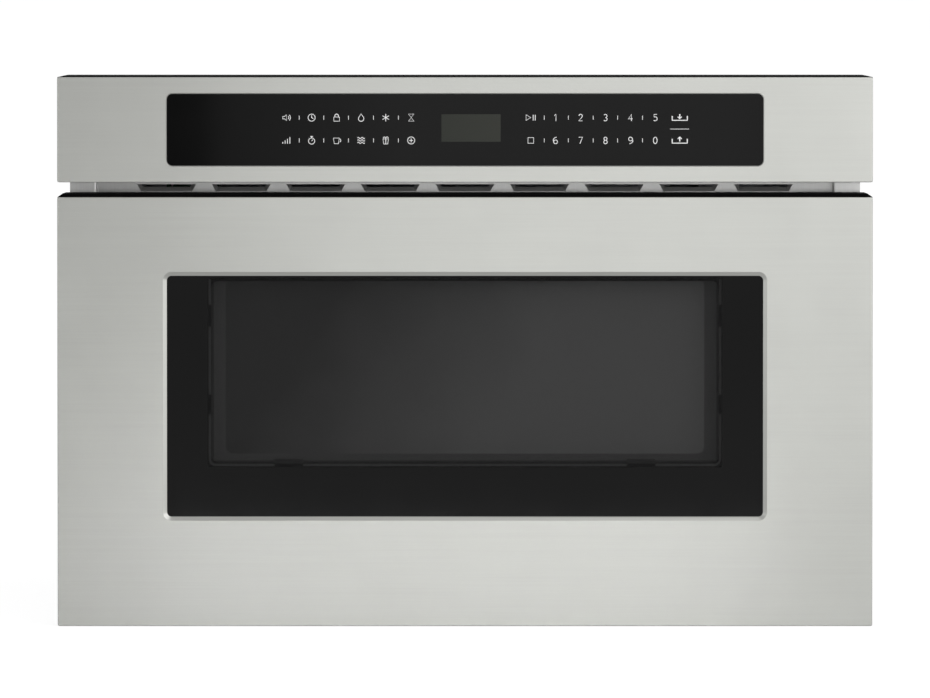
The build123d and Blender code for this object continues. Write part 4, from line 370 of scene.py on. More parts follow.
def circuitBoard(name, look):
    made, tree, shader = startMaterial(name)
    grid = addNode(tree, "ShaderNodeTexBrick", offset=0.5)
    grid.inputs["Scale"].default_value = 1.0 / (look["trackPitch"] * mm)
    grid.inputs["Mortar Size"].default_value = look["trackGap"]
    grid.inputs["Color1"].default_value = (1.0, 1.0, 1.0, 1.0)
    grid.inputs["Color2"].default_value = (0.6, 0.6, 0.6, 1.0)
    grid.inputs["Mortar"].default_value = (0.0, 0.0, 0.0, 1.0)
    tree.links.new(objectPoint(tree), grid.inputs["Vector"])
    shade = cellShade(tree, objectPoint(tree), look["padCells"])
    pads = spread(tree, shade, 0.0, 1.0, *look["padShare"])
    split = addNode(tree, "ShaderNodeSeparateColor")
    tree.links.new(grid.outputs["Color"], split.inputs["Color"])
    tracks = tint(tree, split.outputs[0], look["mask"], look["track"])
    feed(
        tree,
        shader,
        Base_Color=tint(tree, pads, tracks, look["pad"]),
        Roughness=spread(tree, shade, 0.28, 0.42),
        Normal=relief(tree, split.outputs[0], look["trackRelief"] * mm, 0.5),
    )
    return made


finishes = {
    "stainless_front": brushedMetal("brushedFront", frontSteel),
    "flange_steel": rolledSheet("flangeSteel", flangeSheet),
    "galvanised": galvanisedSheet("galvanisedSheet", zincCoat),
    "slide_steel": brushedMetal("slideZinc", slideZinc),
    "black_plastic": mouldedSurface(
        "blackPlastic",
        (0.0022, 0.0022, 0.0022),
        (0.0014, 0.0014, 0.0014),
        (0.55, 0.65),
        Specular_IOR_Level=0.02,
    ),
    "grey_plastic": mouldedSurface("greyPlastic", (0.16, 0.165, 0.17), (0.12, 0.125, 0.13), (0.45, 0.55)),
    "nylon": mouldedSurface("nylon", (0.72, 0.70, 0.64), (0.62, 0.60, 0.55), (0.4, 0.5)),
    "mica_plastic": mouldedSurface("stirrerPlastic", (0.56, 0.52, 0.43), (0.47, 0.43, 0.35), (0.4, 0.5)),
    "cavity_paint": mouldedSurface("cavityPaint", (0.42, 0.42, 0.41), (0.36, 0.36, 0.35), (0.28, 0.4)),
    "ceramic": mouldedSurface("ceramicTray", (0.62, 0.62, 0.60), (0.55, 0.55, 0.53), (0.12, 0.2)),
    "board_green": circuitBoard("circuitBoard", boardLook),
    "core_steel": laminatedCore("laminatedCore", transformerLook),
    "aluminium": mouldedSurface(
        "aluminium", (0.80, 0.81, 0.82), (0.66, 0.67, 0.68), (0.28, 0.4), Metallic=1.0
    ),
    "motor_steel": mouldedSurface(
        "motorSteel", (0.50, 0.50, 0.51), (0.38, 0.38, 0.39), (0.3, 0.42), Metallic=1.0
    ),
    "can_metal": mouldedSurface("canMetal", (0.70, 0.70, 0.71), (0.6, 0.6, 0.61), (0.25, 0.35), Metallic=1.0),
    "screw_steel": mouldedSurface(
        "screwZinc", (0.55, 0.55, 0.56), (0.42, 0.42, 0.43), (0.25, 0.38), Metallic=1.0
    ),
}

windowGlass = {
    "open": ((-191.2, 191.2), (99.5, 240.2)),  # the clear middle, mm across and up
    "clear": 0.62,  # share of light that the clear middle lets through
    "black": (0.004, 0.004, 0.004),
    "smoke": (0.014, 0.014, 0.014),
    "roughness": (0.05, 0.1),
    "specular": 0.12,
}


def smokedGlass(name, glass):
    made, tree, shader = startMaterial(name, Specular_IOR_Level=glass["specular"])
    middle = insideBox(tree, *glass["open"])
    smears = noise(tree, objectPoint(tree), 30.0, 3.0)
    feed(
        tree,
        shader,
        Base_Color=tint(tree, middle, glass["black"], glass["smoke"]),
        Alpha=spread(tree, middle, 1.0, 1.0 - glass["clear"]),
        Roughness=spread(tree, smears, *glass["roughness"]),
    )
    return made


panelGlass = {
    "left": (0.0010, 0.0010, 0.0010),
    "right": (0.0091, 0.0091, 0.0091),
    "reach": (-215.0, -40.0),  # mm across, where the painted reflection goes from its dark left end to its light right end
    "roughness": (0.05, 0.1),
    "specular": 0.045,
}
# the display's base colour also brightens to the right: a painted reflection
displayGlass = {
    "left": (0.0225, 0.0245, 0.0205),
    "right": (0.0270, 0.0285, 0.0240),
    "reach": (-20.0, 30.0),
    "roughness": (0.2, 0.3),
    "specular": 0.1,
}


# the base colour goes from dark at the left to light at the right, a painted reflection, with random smears
# over it
def sheenGradedGlass(name, glass):
    made, tree, shader = startMaterial(name, Specular_IOR_Level=glass["specular"])
    low, high = glass["reach"]
    smears = noise(tree, objectPoint(tree), 26.0, 3.0)
    along = spread(tree, axisOf(tree, "X"), 0.0, 1.0, low * mm, high * mm)
    pale = blendOf(tree, (along, 0.92), (smears, 0.16))
    feed(
        tree,
        shader,
        Base_Color=tint(tree, pale, glass["left"], glass["right"]),
        Roughness=spread(tree, smears, *glass["roughness"]),
    )
    return made


def clearGlass(name):
    made, tree, shader = startMaterial(
        name, Base_Color=(0.02, 0.022, 0.021, 1.0), Alpha=0.12, Specular_IOR_Level=0.4
    )
    feed(tree, shader, Roughness=spread(tree, noise(tree, objectPoint(tree), 40.0), 0.02, 0.06))
    return made


screenLook = {
    "pitch": 1.5,  # mm between holes in a row
    "hole": 0.42,  # mm, radius
    "holeEdge": 0.06,  # softness of a hole's rim, in pitches
    "holeShade": 0.72,  # how dark a hole looks beside the sheet
    "field": ((-178.3, 178.3), (108.4, 238.6)),  # the bare part, mm across and up
    "dim": (0.060, 0.060, 0.060),  # the painted reflection's dark end, at the left
    "bright": (0.235, 0.235, 0.235),  # and its light end, at the right
    "ramp": (-118.0, 55.0),  # mm across, measured level with the middle
    "rampLean": 0.58,  # how far the ramp moves to the left for each mm down
    "rampLevel": 194.0,
    "patches": 24.0,  # for each metre
    "patchShift": 12.0,  # mm, how far the patches push the ramp about
    "rimShade": (0.105, 0.105, 0.105),
    # painted shadow along the edge of the window's opening
    "groove": (0.030, 0.030, 0.030),
    "corner": 5.5,  # mm, round the corners of the holed field
    "grooveInside": ((-187.3, 187.3), (103.2, 250.0)),
}


def holeShades(tree, screen):
    # two grids of round holes, one half a step along from the other
    place = addNode(tree, "ShaderNodeTexCoord")
    stretch = math.sqrt(3.0)
    step = screen["pitch"] * mm
    distances = []
    for shift in (0.0, 0.5):
        mapping = addNode(tree, "ShaderNodeMapping")
        mapping.inputs["Scale"].default_value = (1.0 / step, 0.0, 1.0 / (step * stretch))
        mapping.inputs["Location"].default_value = (shift, 0.0, shift)
        tree.links.new(place.outputs["Object"], mapping.inputs["Vector"])
        wrap = addNode(tree, "ShaderNodeVectorMath", operation="FRACTION")
        tree.links.new(mapping.outputs["Vector"], wrap.inputs[0])
        middle = addNode(tree, "ShaderNodeVectorMath", operation="SUBTRACT")
        middle.inputs[1].default_value = (0.5, 0.0, 0.5)
        tree.links.new(wrap.outputs[0], middle.inputs[0])
        even = addNode(tree, "ShaderNodeVectorMath", operation="MULTIPLY")
        even.inputs[1].default_value = (1.0, 0.0, stretch)
        tree.links.new(middle.outputs[0], even.inputs[0])
        length = addNode(tree, "ShaderNodeVectorMath", operation="LENGTH")
        tree.links.new(even.outputs[0], length.inputs[0])
        distances.append(length.outputs["Value"])
    radius = screen["hole"] / screen["pitch"]
    edge = screen["holeEdge"]
    nearest = maths(tree, "MINIMUM", *distances)
    return spread(tree, nearest, screen["holeShade"], 1.0, radius - edge, radius + edge)


def sheenRampColour(tree, screen):
    # painted reflection: the screen is dark at the left and light at the right of a leaning, patchy ramp
    drop = maths(tree, "SUBTRACT", screen["rampLevel"] * mm, axisOf(tree, "Z"))
    lean = maths(tree, "MULTIPLY", drop, screen["rampLean"])
    patches = noise(tree, objectPoint(tree), screen["patches"], 2.0)
    shift = screen["patchShift"] * mm
    along = maths(tree, "ADD", axisOf(tree, "X"), lean)
    along = maths(tree, "ADD", along, spread(tree, patches, -shift, shift, 0.3, 0.7))
    low, high = screen["ramp"]
    return tint(tree, spread(tree, along, 0.0, 1.0, low * mm, high * mm), screen["dim"], screen["bright"])


def shadedColour(tree, colour, shade):
    # a colour multiplied by a grey shade
    product = addNode(tree, "ShaderNodeMix", data_type="RGBA", blend_type="MULTIPLY")
    product.inputs["Factor"].default_value = 1.0
    first, second = [s for s in product.inputs if s.type == "RGBA"]
    tree.links.new(colour, first)
    grey = addNode(tree, "ShaderNodeCombineColor")
    for socket in grey.inputs:
        tree.links.new(shade, socket)
    tree.links.new(grey.outputs[0], second)
    return [s for s in product.outputs if s.type == "RGBA"][0]


def perforatedSheet(name, screen):
    made, tree, shader = startMaterial(name, Specular_IOR_Level=0.1)
    solid = holeShades(tree, screen)
    # the holed field carries the painted reflection ramp
    holed = shadedColour(tree, sheenRampColour(tree, screen), solid)
    field = insideBox(tree, *screen["field"], soft=0.5, corner=screen["corner"])
    # outside this box the screen is painted dark, a painted shadow along the opening's edge
    inner = insideBox(tree, *screen["grooveInside"])
    edge = tint(tree, inner, screen["groove"], screen["rimShade"])
    feed(
        tree,
        shader,
        Base_Color=tint(tree, field, edge, holed),
        Roughness=spread(tree, noise(tree, objectPoint(tree), 500.0), 0.45, 0.6),
        Normal=relief(tree, solid, 0.1 * mm, 0.3),
    )
    return made


finishes["window_glass"] = smokedGlass("smokedGlass", windowGlass)
finishes["clear_glass"] = clearGlass("clearGlass")
finishes["panel_glass"] = sheenGradedGlass("panelGlass", panelGlass)
finishes["display"] = sheenGradedGlass("displayGlass", displayGlass)
finishes["screen_steel"] = perforatedSheet("perforatedScreen", screenLook)

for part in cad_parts.values():
    for place in part.material_slots:
        place.material = finishes[place.material.name.split(".")[0]]
print("finishes set")


def meshOf(thing):
    # the mesh that a curve object makes, without the object
    bpy.context.scene.collection.objects.link(thing)
    evaluated = thing.evaluated_get(bpy.context.evaluated_depsgraph_get())
    mesh = bpy.data.meshes.new_from_object(evaluated)
    bpy.data.objects.remove(thing)
    return mesh


def makePiece(name, mesh, body, slot, material=None):
    mesh.materials.clear()
    mesh.materials.append(material or finishes[slot])
    for face in mesh.polygons:
        face.use_smooth = False
    piece = bpy.data.objects.new(name, mesh)
    bpy.context.scene.collection.objects.link(piece)
    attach(piece, body)
    return piece


def pieceFrom(made, name, body, slot, material=None):
    mesh = bpy.data.meshes.new(name)
    bmesh.ops.recalc_face_normals(made, faces=made.faces)
    made.to_mesh(mesh)
    made.free()
    return makePiece(name, mesh, body, slot, material)


screwShape = {
    "washer": (4.4, 0.7),  # radius and thickness, mm
    "washerSlope": 0.4,
    "hexAcross": 7.0,
    "headFoot": 0.1,  # where the hexagon starts, inside the washer
    "head": 2.6,
    "headBevel": 0.5,
    "headTaper": 0.7,
    "shank": 1.4,
    "shankLength": 8.0,
    "shankTaper": 0.8,  # the tip's share of the radius
    "recess": (2.3, 0.75, 1.3),  # half length, width and depth of the cross
    "recessTaper": 0.8,  # the floor's share of the mouth
    "sides": 24,
    "shankSides": 12,
}
screwPlacing = {
    "topBand": 30.0,  # mm below the top, where screws stand upright
    "turnRate": 40.0,  # radians for each metre along the row, so that no two crosses line up
}


def screwMaster(shape):
    # a hex-flange screw that points up, its underside at the origin
    made = bmesh.new()
    washer, thick = shape["washer"]
    upright = Matrix.Translation((0, 0, thick * mm / 2))
    bmesh.ops.create_cone(
        made,
        cap_ends=True,
        segments=shape["sides"],
        radius1=washer * mm,
        radius2=(washer - shape["washerSlope"]) * mm,
        depth=thick * mm,
        matrix=upright,
    )
    corner = shape["hexAcross"] * mm / math.sqrt(3.0)
    height = shape["head"] - shape["headBevel"]
    taper = shape["headTaper"] * mm
    rings = []
    for radius, level in ((corner, shape["headFoot"]), (corner, height), (corner - taper, shape["head"])):
        ring = []
        for turn in range(6):
            a = math.radians(60 * turn + 30)
            ring.append(made.verts.new((radius * math.cos(a), radius * math.sin(a), level * mm)))
        rings.append(ring)
    for low, high in zip(rings, rings[1:]):
        for turn in range(6):
            after = (turn + 1) % 6
            made.faces.new((low[turn], low[after], high[after], high[turn]))
    made.faces.new(rings[0][::-1])
    # the cross is cut into the top as a floor and walls within a ring of faces
    length, width, depth = (value * mm for value in shape["recess"])
    half = width / 2
    outline = []
    for turn in range(4):
        a = math.radians(90 * turn)
        for x, y in ((length, -half), (length, half), (half, half)):
            outline.append((x * math.cos(a) - y * math.sin(a), x * math.sin(a) + y * math.cos(a)))
    rim = [made.verts.new((x, y, shape["head"] * mm)) for x, y in outline]
    share = shape["recessTaper"]
    floor = [made.verts.new((share * x, share * y, shape["head"] * mm - depth)) for x, y in outline]
    for step in range(12):
        after = (step + 1) % 12
        made.faces.new((rim[step], floor[step], floor[after], rim[after]))
    made.faces.new(floor)
    rimEdges = [made.edges.get((rim[step], rim[(step + 1) % 12])) for step in range(12)]
    topEdges = [made.edges.get((rings[-1][turn], rings[-1][(turn + 1) % 6])) for turn in range(6)]
    bmesh.ops.triangle_fill(made, edges=rimEdges + topEdges, use_beauty=True)
    drop = Matrix.Translation((0, 0, -shape["shankLength"] / 2 * mm))
    bmesh.ops.create_cone(
        made,
        cap_ends=True,
        segments=shape["shankSides"],
        radius1=shape["shank"] * shape["shankTaper"] * mm,
        radius2=shape["shank"] * mm,
        depth=shape["shankLength"] * mm,
        matrix=drop,
    )
    bmesh.ops.recalc_face_normals(made, faces=made.faces)
    mesh = bpy.data.meshes.new("screwMaster")
    made.to_mesh(mesh)
    made.free()
    return mesh


def solidsOf(node):
    # the box of each separate solid in a node
    made = bmesh.new()
    made.from_mesh(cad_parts[node].data)
    bmesh.ops.remove_doubles(made, verts=made.verts, dist=0.00001)
    seen = set()
    boxes = []
    for start in made.verts:
        if start in seen:
            continue
        seen.add(start)
        group = [start]
        for vertex in group:
            for edge in vertex.link_edges:
                other = edge.other_vert(vertex)
                if other not in seen:
                    seen.add(other)
                    group.append(other)
        low = [min(v.co[i] for v in group) for i in range(3)]
        high = [max(v.co[i] for v in group) for i in range(3)]
        boxes.append((Vector(low), Vector(high)))
    made.free()
    return boxes


def placeScrews(name, node, body, master):
    made = bmesh.new()
    topBand = screwPlacing["topBand"] * mm
    turnRate = screwPlacing["turnRate"]
    for low, high in solidsOf(node):
        middle = (low + high) / 2
        size = high - low
        if size.z > size.y and high.z > cadHigh.z - topBand:
            seat = Vector((middle.x, middle.y, high.z - screwShape["head"] * mm))
            turn = Matrix.Rotation(middle.y * turnRate, 4, "Z")
        else:
            seat = Vector((middle.x, high.y - screwShape["head"] * mm, middle.z))
            turn = Matrix.Rotation(-math.pi / 2, 4, "X") @ Matrix.Rotation(middle.z * turnRate, 4, "Z")
        copy = master.copy()
        copy.transform(Matrix.Translation(seat) @ turn)
        made.from_mesh(copy)
        bpy.data.meshes.remove(copy)
    piece = pieceFrom(made, name, body, "screw_steel")
    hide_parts(node)


master = screwMaster(screwShape)
placeScrews("casing_screw_set", "chassis_screws", "chassis", master)
placeScrews("door_screw_set", "door_screws", "drawer", master)
print("screws placed")

windowLine = {
    "sides": 189.9,  # mm from the middle to the line
    "low": 100.8,
    "high": 239.1,
    "corner": 4.5,
    "width": 1.8,
    "back": 0.03,  # mm in front of the glass's back face
    "thickness": 0.02,
    "shade": (0.045, 0.045, 0.045),
    "sideBreaks": ((138.5, 153.3), (203.9, 220.2)),  # mm up, where the clips cover it
    "lowBreak": (120.5, 141.8),  # mm to each side
}
screenClips = {
    "sides": 189.0,  # mm from the middle to the window's edge
    "low": 101.8,
    "reach": 1.9,
    "lowReach": 3.0,
    "front": 0.6,  # mm behind the glass
    "depth": 9.0,
    "round": 0.4,
    "light": (0.032, 0.032, 0.032),
    "dark": (0.024, 0.024, 0.024),
}


def ribbon(made, route, width, front, thickness):
    # a flat strip along a route in front view, in mm, with square ends
    corners = []
    for step, (x, z) in enumerate(route):
        before = Vector(route[max(step - 1, 0)])
        after = Vector(route[min(step + 1, len(route) - 1)])
        along = (after - before).normalized()
        side = Vector((-along.y, along.x)) * width / 2
        for point in (Vector((x, z)) + side, Vector((x, z)) - side):
            for y in (front, front + thickness):
                corners.append(made.verts.new((point.x * mm, y * mm, point.y * mm)))
    for step in range(len(route) - 1):
        a, b = corners[4 * step : 4 * step + 4], corners[4 * step + 4 : 4 * step + 8]
        for i, j in ((0, 1), (1, 3), (3, 2), (2, 0)):
            made.faces.new((a[i], a[j], b[j], b[i]))
    for end in (corners[:4], corners[-4:]):
        made.faces.new((end[0], end[1], end[3], end[2]))


def makeWindowLine(line):
    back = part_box("door_glass")[1].y / mm - line["back"]
    made = bmesh.new()
    side, low, high, corner = line["sides"], line["low"], line["high"], line["corner"]
    (firstLow, firstHigh), (secondLow, secondHigh) = line["sideBreaks"]
    inner, outer = line["lowBreak"]
    turn = [math.radians(10 * step) for step in range(10)]
    for sign in (-1, 1):
        bend = [
            (sign * (side - corner + corner * math.cos(a)), low + corner - corner * math.sin(a)) for a in turn
        ]
        lowRoute = [(sign * side, firstLow), *bend, (sign * outer, low)]
        for route in (
            lowRoute,
            [(sign * side, firstHigh), (sign * side, secondLow)],
            [(sign * side, secondHigh), (sign * side, high)],
        ):
            ribbon(made, route, line["width"], back, line["thickness"])
    ribbon(made, [(-inner, low), (inner, low)], line["width"], back, line["thickness"])
    shade = line["shade"]
    ink = mouldedSurface(
        "windowLineInk", shade, tuple(0.9 * value for value in shade), (0.5, 0.6), Specular_IOR_Level=0.0
    )
    pieceFrom(made, "window_line", "drawer", "window_glass", ink)


def addBlock(made, low, high, bevel):
    # a box between two corners in mm, with its edges rounded
    low, high = Vector(low) * mm, Vector(high) * mm
    scale = Matrix.Diagonal((*(high - low), 1.0))
    block = bmesh.new()
    bmesh.ops.create_cube(block, size=1.0, matrix=Matrix.Translation((low + high) / 2) @ scale)
    bmesh.ops.bevel(block, geom=block.edges[:], offset=bevel * mm, segments=2, affect="EDGES")
    mesh = bpy.data.meshes.new("block")
    block.to_mesh(mesh)
    block.free()
    made.from_mesh(mesh)
    bpy.data.meshes.remove(mesh)


def makeClips(clips, line):
    # fingers of the door's frame that stand in from the edge of the window and hold the screen
    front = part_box("door_glass")[1].y / mm + clips["front"]
    across, low = clips["sides"], clips["low"]
    made = bmesh.new()
    for sign in (-1, 1):
        ends = sorted((sign * (across - clips["reach"]), sign * across))
        for start, end in line["sideBreaks"]:
            addBlock(made, (ends[0], front, start), (ends[1], front + clips["depth"], end), clips["round"])
        ends = sorted(sign * value for value in line["lowBreak"])
        top = low + clips["lowReach"]
        addBlock(made, (ends[0], front, low), (ends[1], front + clips["depth"], top), clips["round"])
    plastic = mouldedSurface("clipPlastic", clips["light"], clips["dark"], (0.5, 0.6), Specular_IOR_Level=0.1)
    pieceFrom(made, "screen_clips", "drawer", "black_plastic", plastic)


makeWindowLine(windowLine)
makeClips(screenClips, windowLine)
print("window dressed")

printing = {
    "thickness": 0.04,  # mm, how far the ink stands off the glass
    "light": (0.78, 0.78, 0.78),
    "dark": (0.70, 0.70, 0.70),
    "stroke": 0.27,  # mm, half the width of a line
    "digitStroke": 0.29,
    "boldStroke": 0.42,
    "upperRow": 359.6,  # mm above the chassis's underside
    "lowerRow": 342.65,
    "leftKeys": (-132.8, -114.0, -95.4, -77.2, -58.9, -40.0),
    "leftDividers": (-123.2, -105.0, -86.6, -68.0, -49.5),
    "runKeys": 48.9,
    "digitKeys": (67.3, 85.9, 104.4, 123.0, 141.4),
    "rightDividers": (58.9, 76.8, 95.3, 113.4, 131.9),
    "drawerKeys": 159.6,
    "barReach": 7.0,
    "dividerHeight": 3.0,
    "dividerStroke": 0.2,
    "signScale": 1.1,
}
panelInk = mouldedSurface("panelInk", printing["light"], printing["dark"], (0.5, 0.6))
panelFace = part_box("panel_glass")[0].y


def arc(across, up, radius, start=0.0, end=360.0, steps=20):
    turn = [math.radians(start + (end - start) * step / steps) for step in range(steps + 1)]
    return [(across + radius * math.cos(a), up + radius * math.sin(a)) for a in turn]


def boxLine(left, low, right, high):
    return [(left, low), (right, low), (right, high), (left, high), (left, low)]


# each sign is a few lines, in mm about the middle of its key
def soundSign():
    horn = [(-2.4, -0.8), (-1.2, -0.8), (0.2, -2.0), (0.2, 2.0), (-1.2, 0.8), (-2.4, 0.8), (-2.4, -0.8)]
    return [horn, arc(0.2, 0.0, 1.5, -45, 45, 8), arc(0.2, 0.0, 2.6, -45, 45, 8)]


def clockSign():
    return [arc(0, 0, 2.4), [(0, 1.6), (0, 0), (1.2, -0.7)]]


def lockSign():
    return [boxLine(-1.9, -2.4, 1.9, 0.4), [(-1.2, 0.4), *arc(0, 1.2, 1.2, 180, 0, 10), (1.2, 0.4)]]


def dropSign():
    return [[(0, 2.6), *arc(0, -0.7, 1.8, 30, -210, 18), (0, 2.6)]]


def flakeSign():
    turn = [math.radians(30 + 60 * step) for step in range(3)]
    ends = [(2.5 * math.cos(a), 2.5 * math.sin(a)) for a in turn]
    return [[(-x, -z), (x, z)] for x, z in ends]


def hourglassSign():
    return [[(-1.8, 2.4), (1.8, 2.4), (-1.8, -2.4), (1.8, -2.4), (-1.8, 2.4)]]


def barsSign():
    bars = ((-2.4, 1.2), (-0.8, 2.2), (0.8, 3.3), (2.4, 4.4))
    return [[(x, -2.2), (x, -2.2 + height)] for x, height in bars]


def stopwatchSign():
    return [arc(0, -0.4, 2.1), [(0, 1.7), (0, 2.7)], [(-0.9, 2.7), (0.9, 2.7)], [(0, -0.4), (0.9, 0.6)]]


def cupSign():
    cup = [(-2.2, 1.6), (-1.6, -2.2), (1.2, -2.2), (1.8, 1.6), (-2.2, 1.6)]
    return [cup, arc(1.6, 0.0, 1.2, 70, -70, 8)]


def waveSign():
    wave = [(x / 4.0, 0.5 * math.sin(x * math.pi / 5)) for x in range(-10, 11)]
    return [[(x, z + level) for x, z in wave] for level in (-1.6, 0.0, 1.6)]


def tubSign():
    tub = [(-1.9, 1.0), (-1.3, -2.4), (1.3, -2.4), (1.9, 1.0), (-1.9, 1.0)]
    return [tub, arc(-1.0, 1.6, 0.7, 200, -20, 8), arc(0.9, 1.6, 0.8, 200, -20, 8), [(0, 1.0), (0, -2.4)]]


def plusSign():
    return [arc(0, 0, 2.4), [(-1.3, 0), (1.3, 0)], [(0, -1.3), (0, 1.3)]]


def playSign():
    wedge = [(-3.2, -1.9), (-3.2, 1.9), (0.0, 0.0), (-3.2, -1.9)]
    return [wedge, [(1.6, -1.9), (1.6, 1.9)], [(3.0, -1.9), (3.0, 1.9)]]


def stopSign():
    return [boxLine(-1.9, -1.9, 1.9, 1.9)]


def traySign(arrowTip, arrowEnd, headLevel):
    tray = [(-5.6, 1.2), (-5.6, -2.0), (5.6, -2.0), (5.6, 1.2)]
    return [tray, [(0, arrowEnd), (0, arrowTip)], [(-1.5, headLevel), (0, arrowTip), (1.5, headLevel)]]


def digitLines(digit):
    # plain digits about 5 mm high, drawn as the pen goes
    oval = [(1.4 * x, 2.45 * z) for x, z in arc(0, 0, 1.0)]
    shapes = (
        [oval],
        [[(-1.0, 1.6), (0.3, 2.45), (0.3, -2.45)]],
        [[*arc(0, 1.15, 1.3, 165, -35, 12), (-1.4, -2.4), (1.4, -2.4)]],
        [arc(-0.1, 1.2, 1.2, 145, -90, 12), arc(-0.1, -1.15, 1.3, 90, -145, 12)],
        [[(0.7, -2.45), (0.7, 2.4), (-1.6, -0.9), (1.6, -0.9)]],
        [[(1.2, 2.4), (-0.9, 2.4), *arc(-0.1, -0.85, 1.5, 122, -140, 14)]],
        [arc(0, -1.05, 1.4), [(-1.4, -1.05), *arc(1.0, -0.6, 3.0, 160, 95, 6)]],
        [[(-1.4, 2.4), (1.4, 2.4), (-0.5, -2.45)]],
        [arc(0, 1.25, 1.15), arc(0, -1.2, 1.3)],
        [arc(0, 1.05, 1.4), [(1.4, 1.05), *arc(-1.0, 0.6, 3.0, -20, -85, 6)]],
    )
    return shapes[digit]


def printLines(name, places, stroke):
    # round lines pressed flat onto the glass
    curve = bpy.data.curves.new(name, "CURVE")
    curve.dimensions = "3D"
    curve.bevel_depth = stroke * mm
    curve.bevel_resolution = 1
    curve.use_fill_caps = True
    for across, up, lines in places:
        for line in lines:
            closed = line[0] == line[-1]
            points = line[:-1] if closed else line
            spline = curve.splines.new("POLY")
            spline.points.add(len(points) - 1)
            spline.use_cyclic_u = closed
            for point, (x, z) in zip(spline.points, points):
                point.co = ((across + x) * mm, 0.0, (up + z) * mm, 1.0)
    mesh = meshOf(bpy.data.objects.new(name, curve))
    flat = printing["thickness"] / (2 * stroke)
    for vertex in mesh.vertices:
        vertex.co.y = vertex.co.y * flat + panelFace - printing["thickness"] * mm / 2
    makePiece(name, mesh, "chassis", "panel_glass", panelInk)


def printPanel():
    rows = (printing["upperRow"], printing["lowerRow"])
    signs = (
        (soundSign, clockSign, lockSign, dropSign, flakeSign, hourglassSign, playSign),
        (barsSign, stopwatchSign, cupSign, waveSign, tubSign, plusSign, stopSign),
    )
    size = printing["signScale"]
    signPlaces = []
    for row, rowSigns in zip(rows, signs):
        for x, sign in zip((*printing["leftKeys"], printing["runKeys"]), rowSigns):
            lines = [[(size * across, size * up) for across, up in line] for line in sign()]
            signPlaces.append((x, row, lines))
    printLines("key_signs", signPlaces, printing["stroke"])
    bar = [(0, -printing["dividerHeight"] / 2), (0, printing["dividerHeight"] / 2)]
    dividers = printing["leftDividers"] + printing["rightDividers"]
    printLines("key_dividers", [(x, row, [bar]) for row in rows for x in dividers], printing["dividerStroke"])
    reach = printing["barReach"]
    drawerSigns = [
        (printing["drawerKeys"], rows[0], traySign(-0.8, 2.6, 0.7)),
        (printing["drawerKeys"], rows[1], traySign(2.6, -0.8, 1.1)),
    ]
    printLines("drawer_key_signs", drawerSigns, printing["boldStroke"])
    middle = (printing["drawerKeys"], sum(rows) / 2, [[(-reach, 0), (reach, 0)]])
    printLines("drawer_key_bar", [middle], printing["dividerStroke"])
    digits = [(x, rows[0], digitLines(n + 1)) for n, x in enumerate(printing["digitKeys"])]
    digits += [(x, rows[1], digitLines((n + 6) % 10)) for n, x in enumerate(printing["digitKeys"])]
    printLines("key_digits", digits, printing["digitStroke"])


printPanel()
print("panel printed")

stageSettings = {
    "floorSize": 60.0,  # metres
    "floorGap": 0.3,  # mm under the object
    "floorColour": (0.82, 0.82, 0.82),
    "shadowShare": 0.35,  # how much of the floor's own shade shows
    "cameraLift": 0.32,  # makes up for that share, so that the open floor is white to the camera
    "ambient": 0.70,
}


def whiteForSight(tree, plain, white, output, sight=1.0, lift=0.0):
    # the camera, mirrors and glass see white; other rays get the plain shader
    path = addNode(tree, "ShaderNodeLightPath")
    seen = maths(tree, "MAXIMUM", path.outputs["Is Camera Ray"], path.outputs["Is Glossy Ray"])
    seen = maths(tree, "MAXIMUM", seen, path.outputs["Is Transmission Ray"])
    mix = addNode(tree, "ShaderNodeMixShader")
    tree.links.new(maths(tree, "MULTIPLY", seen, sight), mix.inputs["Fac"])
    tree.links.new(plain, mix.inputs[1])
    tree.links.new(white.outputs[0], mix.inputs[2])
    tree.links.new(mix.outputs[0], output)
    strength = maths(tree, "ADD", maths(tree, "MULTIPLY", path.outputs["Is Camera Ray"], lift), 1.0)
    tree.links.new(strength, white.inputs["Strength"])


def makeFloor(settings):
    mesh = bpy.data.meshes.new("floor")
    half = settings["floorSize"] / 2.0
    level = cadLow.z - settings["floorGap"] * mm
    corners = [(-half, -half, level), (half, -half, level), (half, half, level), (-half, half, level)]
    mesh.from_pydata(corners, [], [(0, 1, 2, 3)])
    floor = bpy.data.objects.new("floor", mesh)
    bpy.context.scene.collection.objects.link(floor)
    made = bpy.data.materials.new("paleFloor")
    made.use_nodes = True
    tree = made.node_tree
    tree.nodes.clear()
    plain = addNode(tree, "ShaderNodeBsdfDiffuse")
    plain.inputs["Color"].default_value = (*settings["floorColour"], 1.0)
    white = addNode(tree, "ShaderNodeEmission")
    output = addNode(tree, "ShaderNodeOutputMaterial")
    sight = 1.0 - settings["shadowShare"]
    whiteForSight(tree, plain.outputs[0], white, output.inputs["Surface"], sight, settings["cameraLift"])
    mesh.materials.append(made)


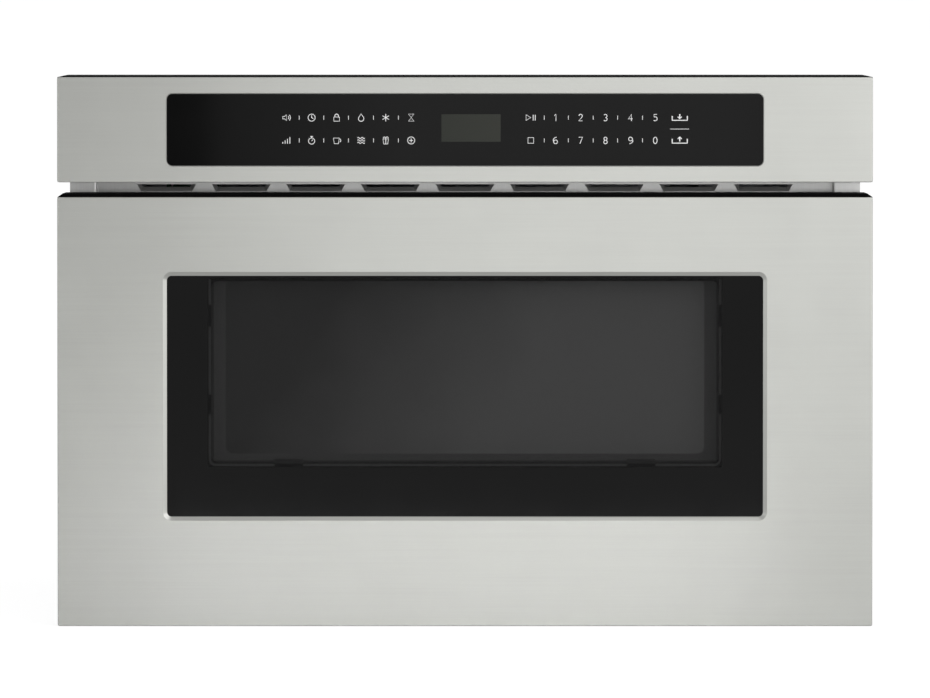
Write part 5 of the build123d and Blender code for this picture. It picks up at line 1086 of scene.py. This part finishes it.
def makeWorld(settings):
    world = bpy.data.worlds.new("studio")
    world.use_nodes = True
    tree = world.node_tree
    tree.nodes.clear()
    plain = addNode(tree, "ShaderNodeBackground")
    plain.inputs["Strength"].default_value = settings["ambient"]
    white = addNode(tree, "ShaderNodeBackground")
    output = addNode(tree, "ShaderNodeOutputWorld")
    whiteForSight(tree, plain.outputs[0], white, output.inputs["Surface"])
    bpy.context.scene.world = world


# places, aims and sizes in metres; the two flat low lamps stand just over the floor
lamps = {
    "key": {
        "place": (1.4, -2.2, 1.5),
        "aim": (0.0, 0.0, 0.2),
        "size": (3.2, 3.2),
        "watts": 46.0,
    },
    "upperCentre": {
        "place": (0.02, -1.2, 0.35),
        "aim": (0.0, 0.0, 0.31),
        "size": (0.46, 0.24),
        "watts": 0.46,
    },
    "lowCentre": {
        "place": (0.0, -0.85, -0.0125),
        "aim": (0.0, 0.0, 0.02),
        "size": (0.5, 0.012),
        "watts": 0.44,
    },
    "lowLeft": {
        "place": (-0.4, -0.85, -0.0125),
        "aim": (-0.2, 0.0, 0.05),
        "size": (0.4, 0.012),
        "watts": 0.12,
    },
    "gapRight": {
        "place": (0.75, -0.5, 0.31),
        "aim": (0.2, 0.0, 0.306),
        "size": (0.9, 0.6),
        "watts": 1.1,
    },
    "gapLeft": {
        "place": (-0.6, -0.6, 0.31),
        "aim": (-0.2, 0.0, 0.306),
        "size": (0.3, 0.3),
        "watts": 0.4,
    },
    "wingRight": {
        "place": (0.5, -1.0, 0.31),
        "aim": (0.2, 0.0, 0.306),
        "size": (0.4, 0.2),
        "watts": 0.2,
    },
}


def makeLamp(name, settings):
    data = bpy.data.lights.new(name, "AREA")
    data.shape = "RECTANGLE"
    data.size, data.size_y = settings["size"]
    data.energy = settings["watts"]
    lamp = bpy.data.objects.new(name, data)
    bpy.context.scene.collection.objects.link(lamp)
    lamp.location = settings["place"]
    away = Vector(settings["place"]) - Vector(settings["aim"])
    lamp.rotation_mode = "QUATERNION"
    lamp.rotation_quaternion = away.to_track_quat("Z", "Y")


makeFloor(stageSettings)
makeWorld(stageSettings)
for lampName, lampSettings in lamps.items():
    makeLamp(lampName, lampSettings)
bpy.context.scene.view_settings.view_transform = "Standard"
print("stage and lamps ready")
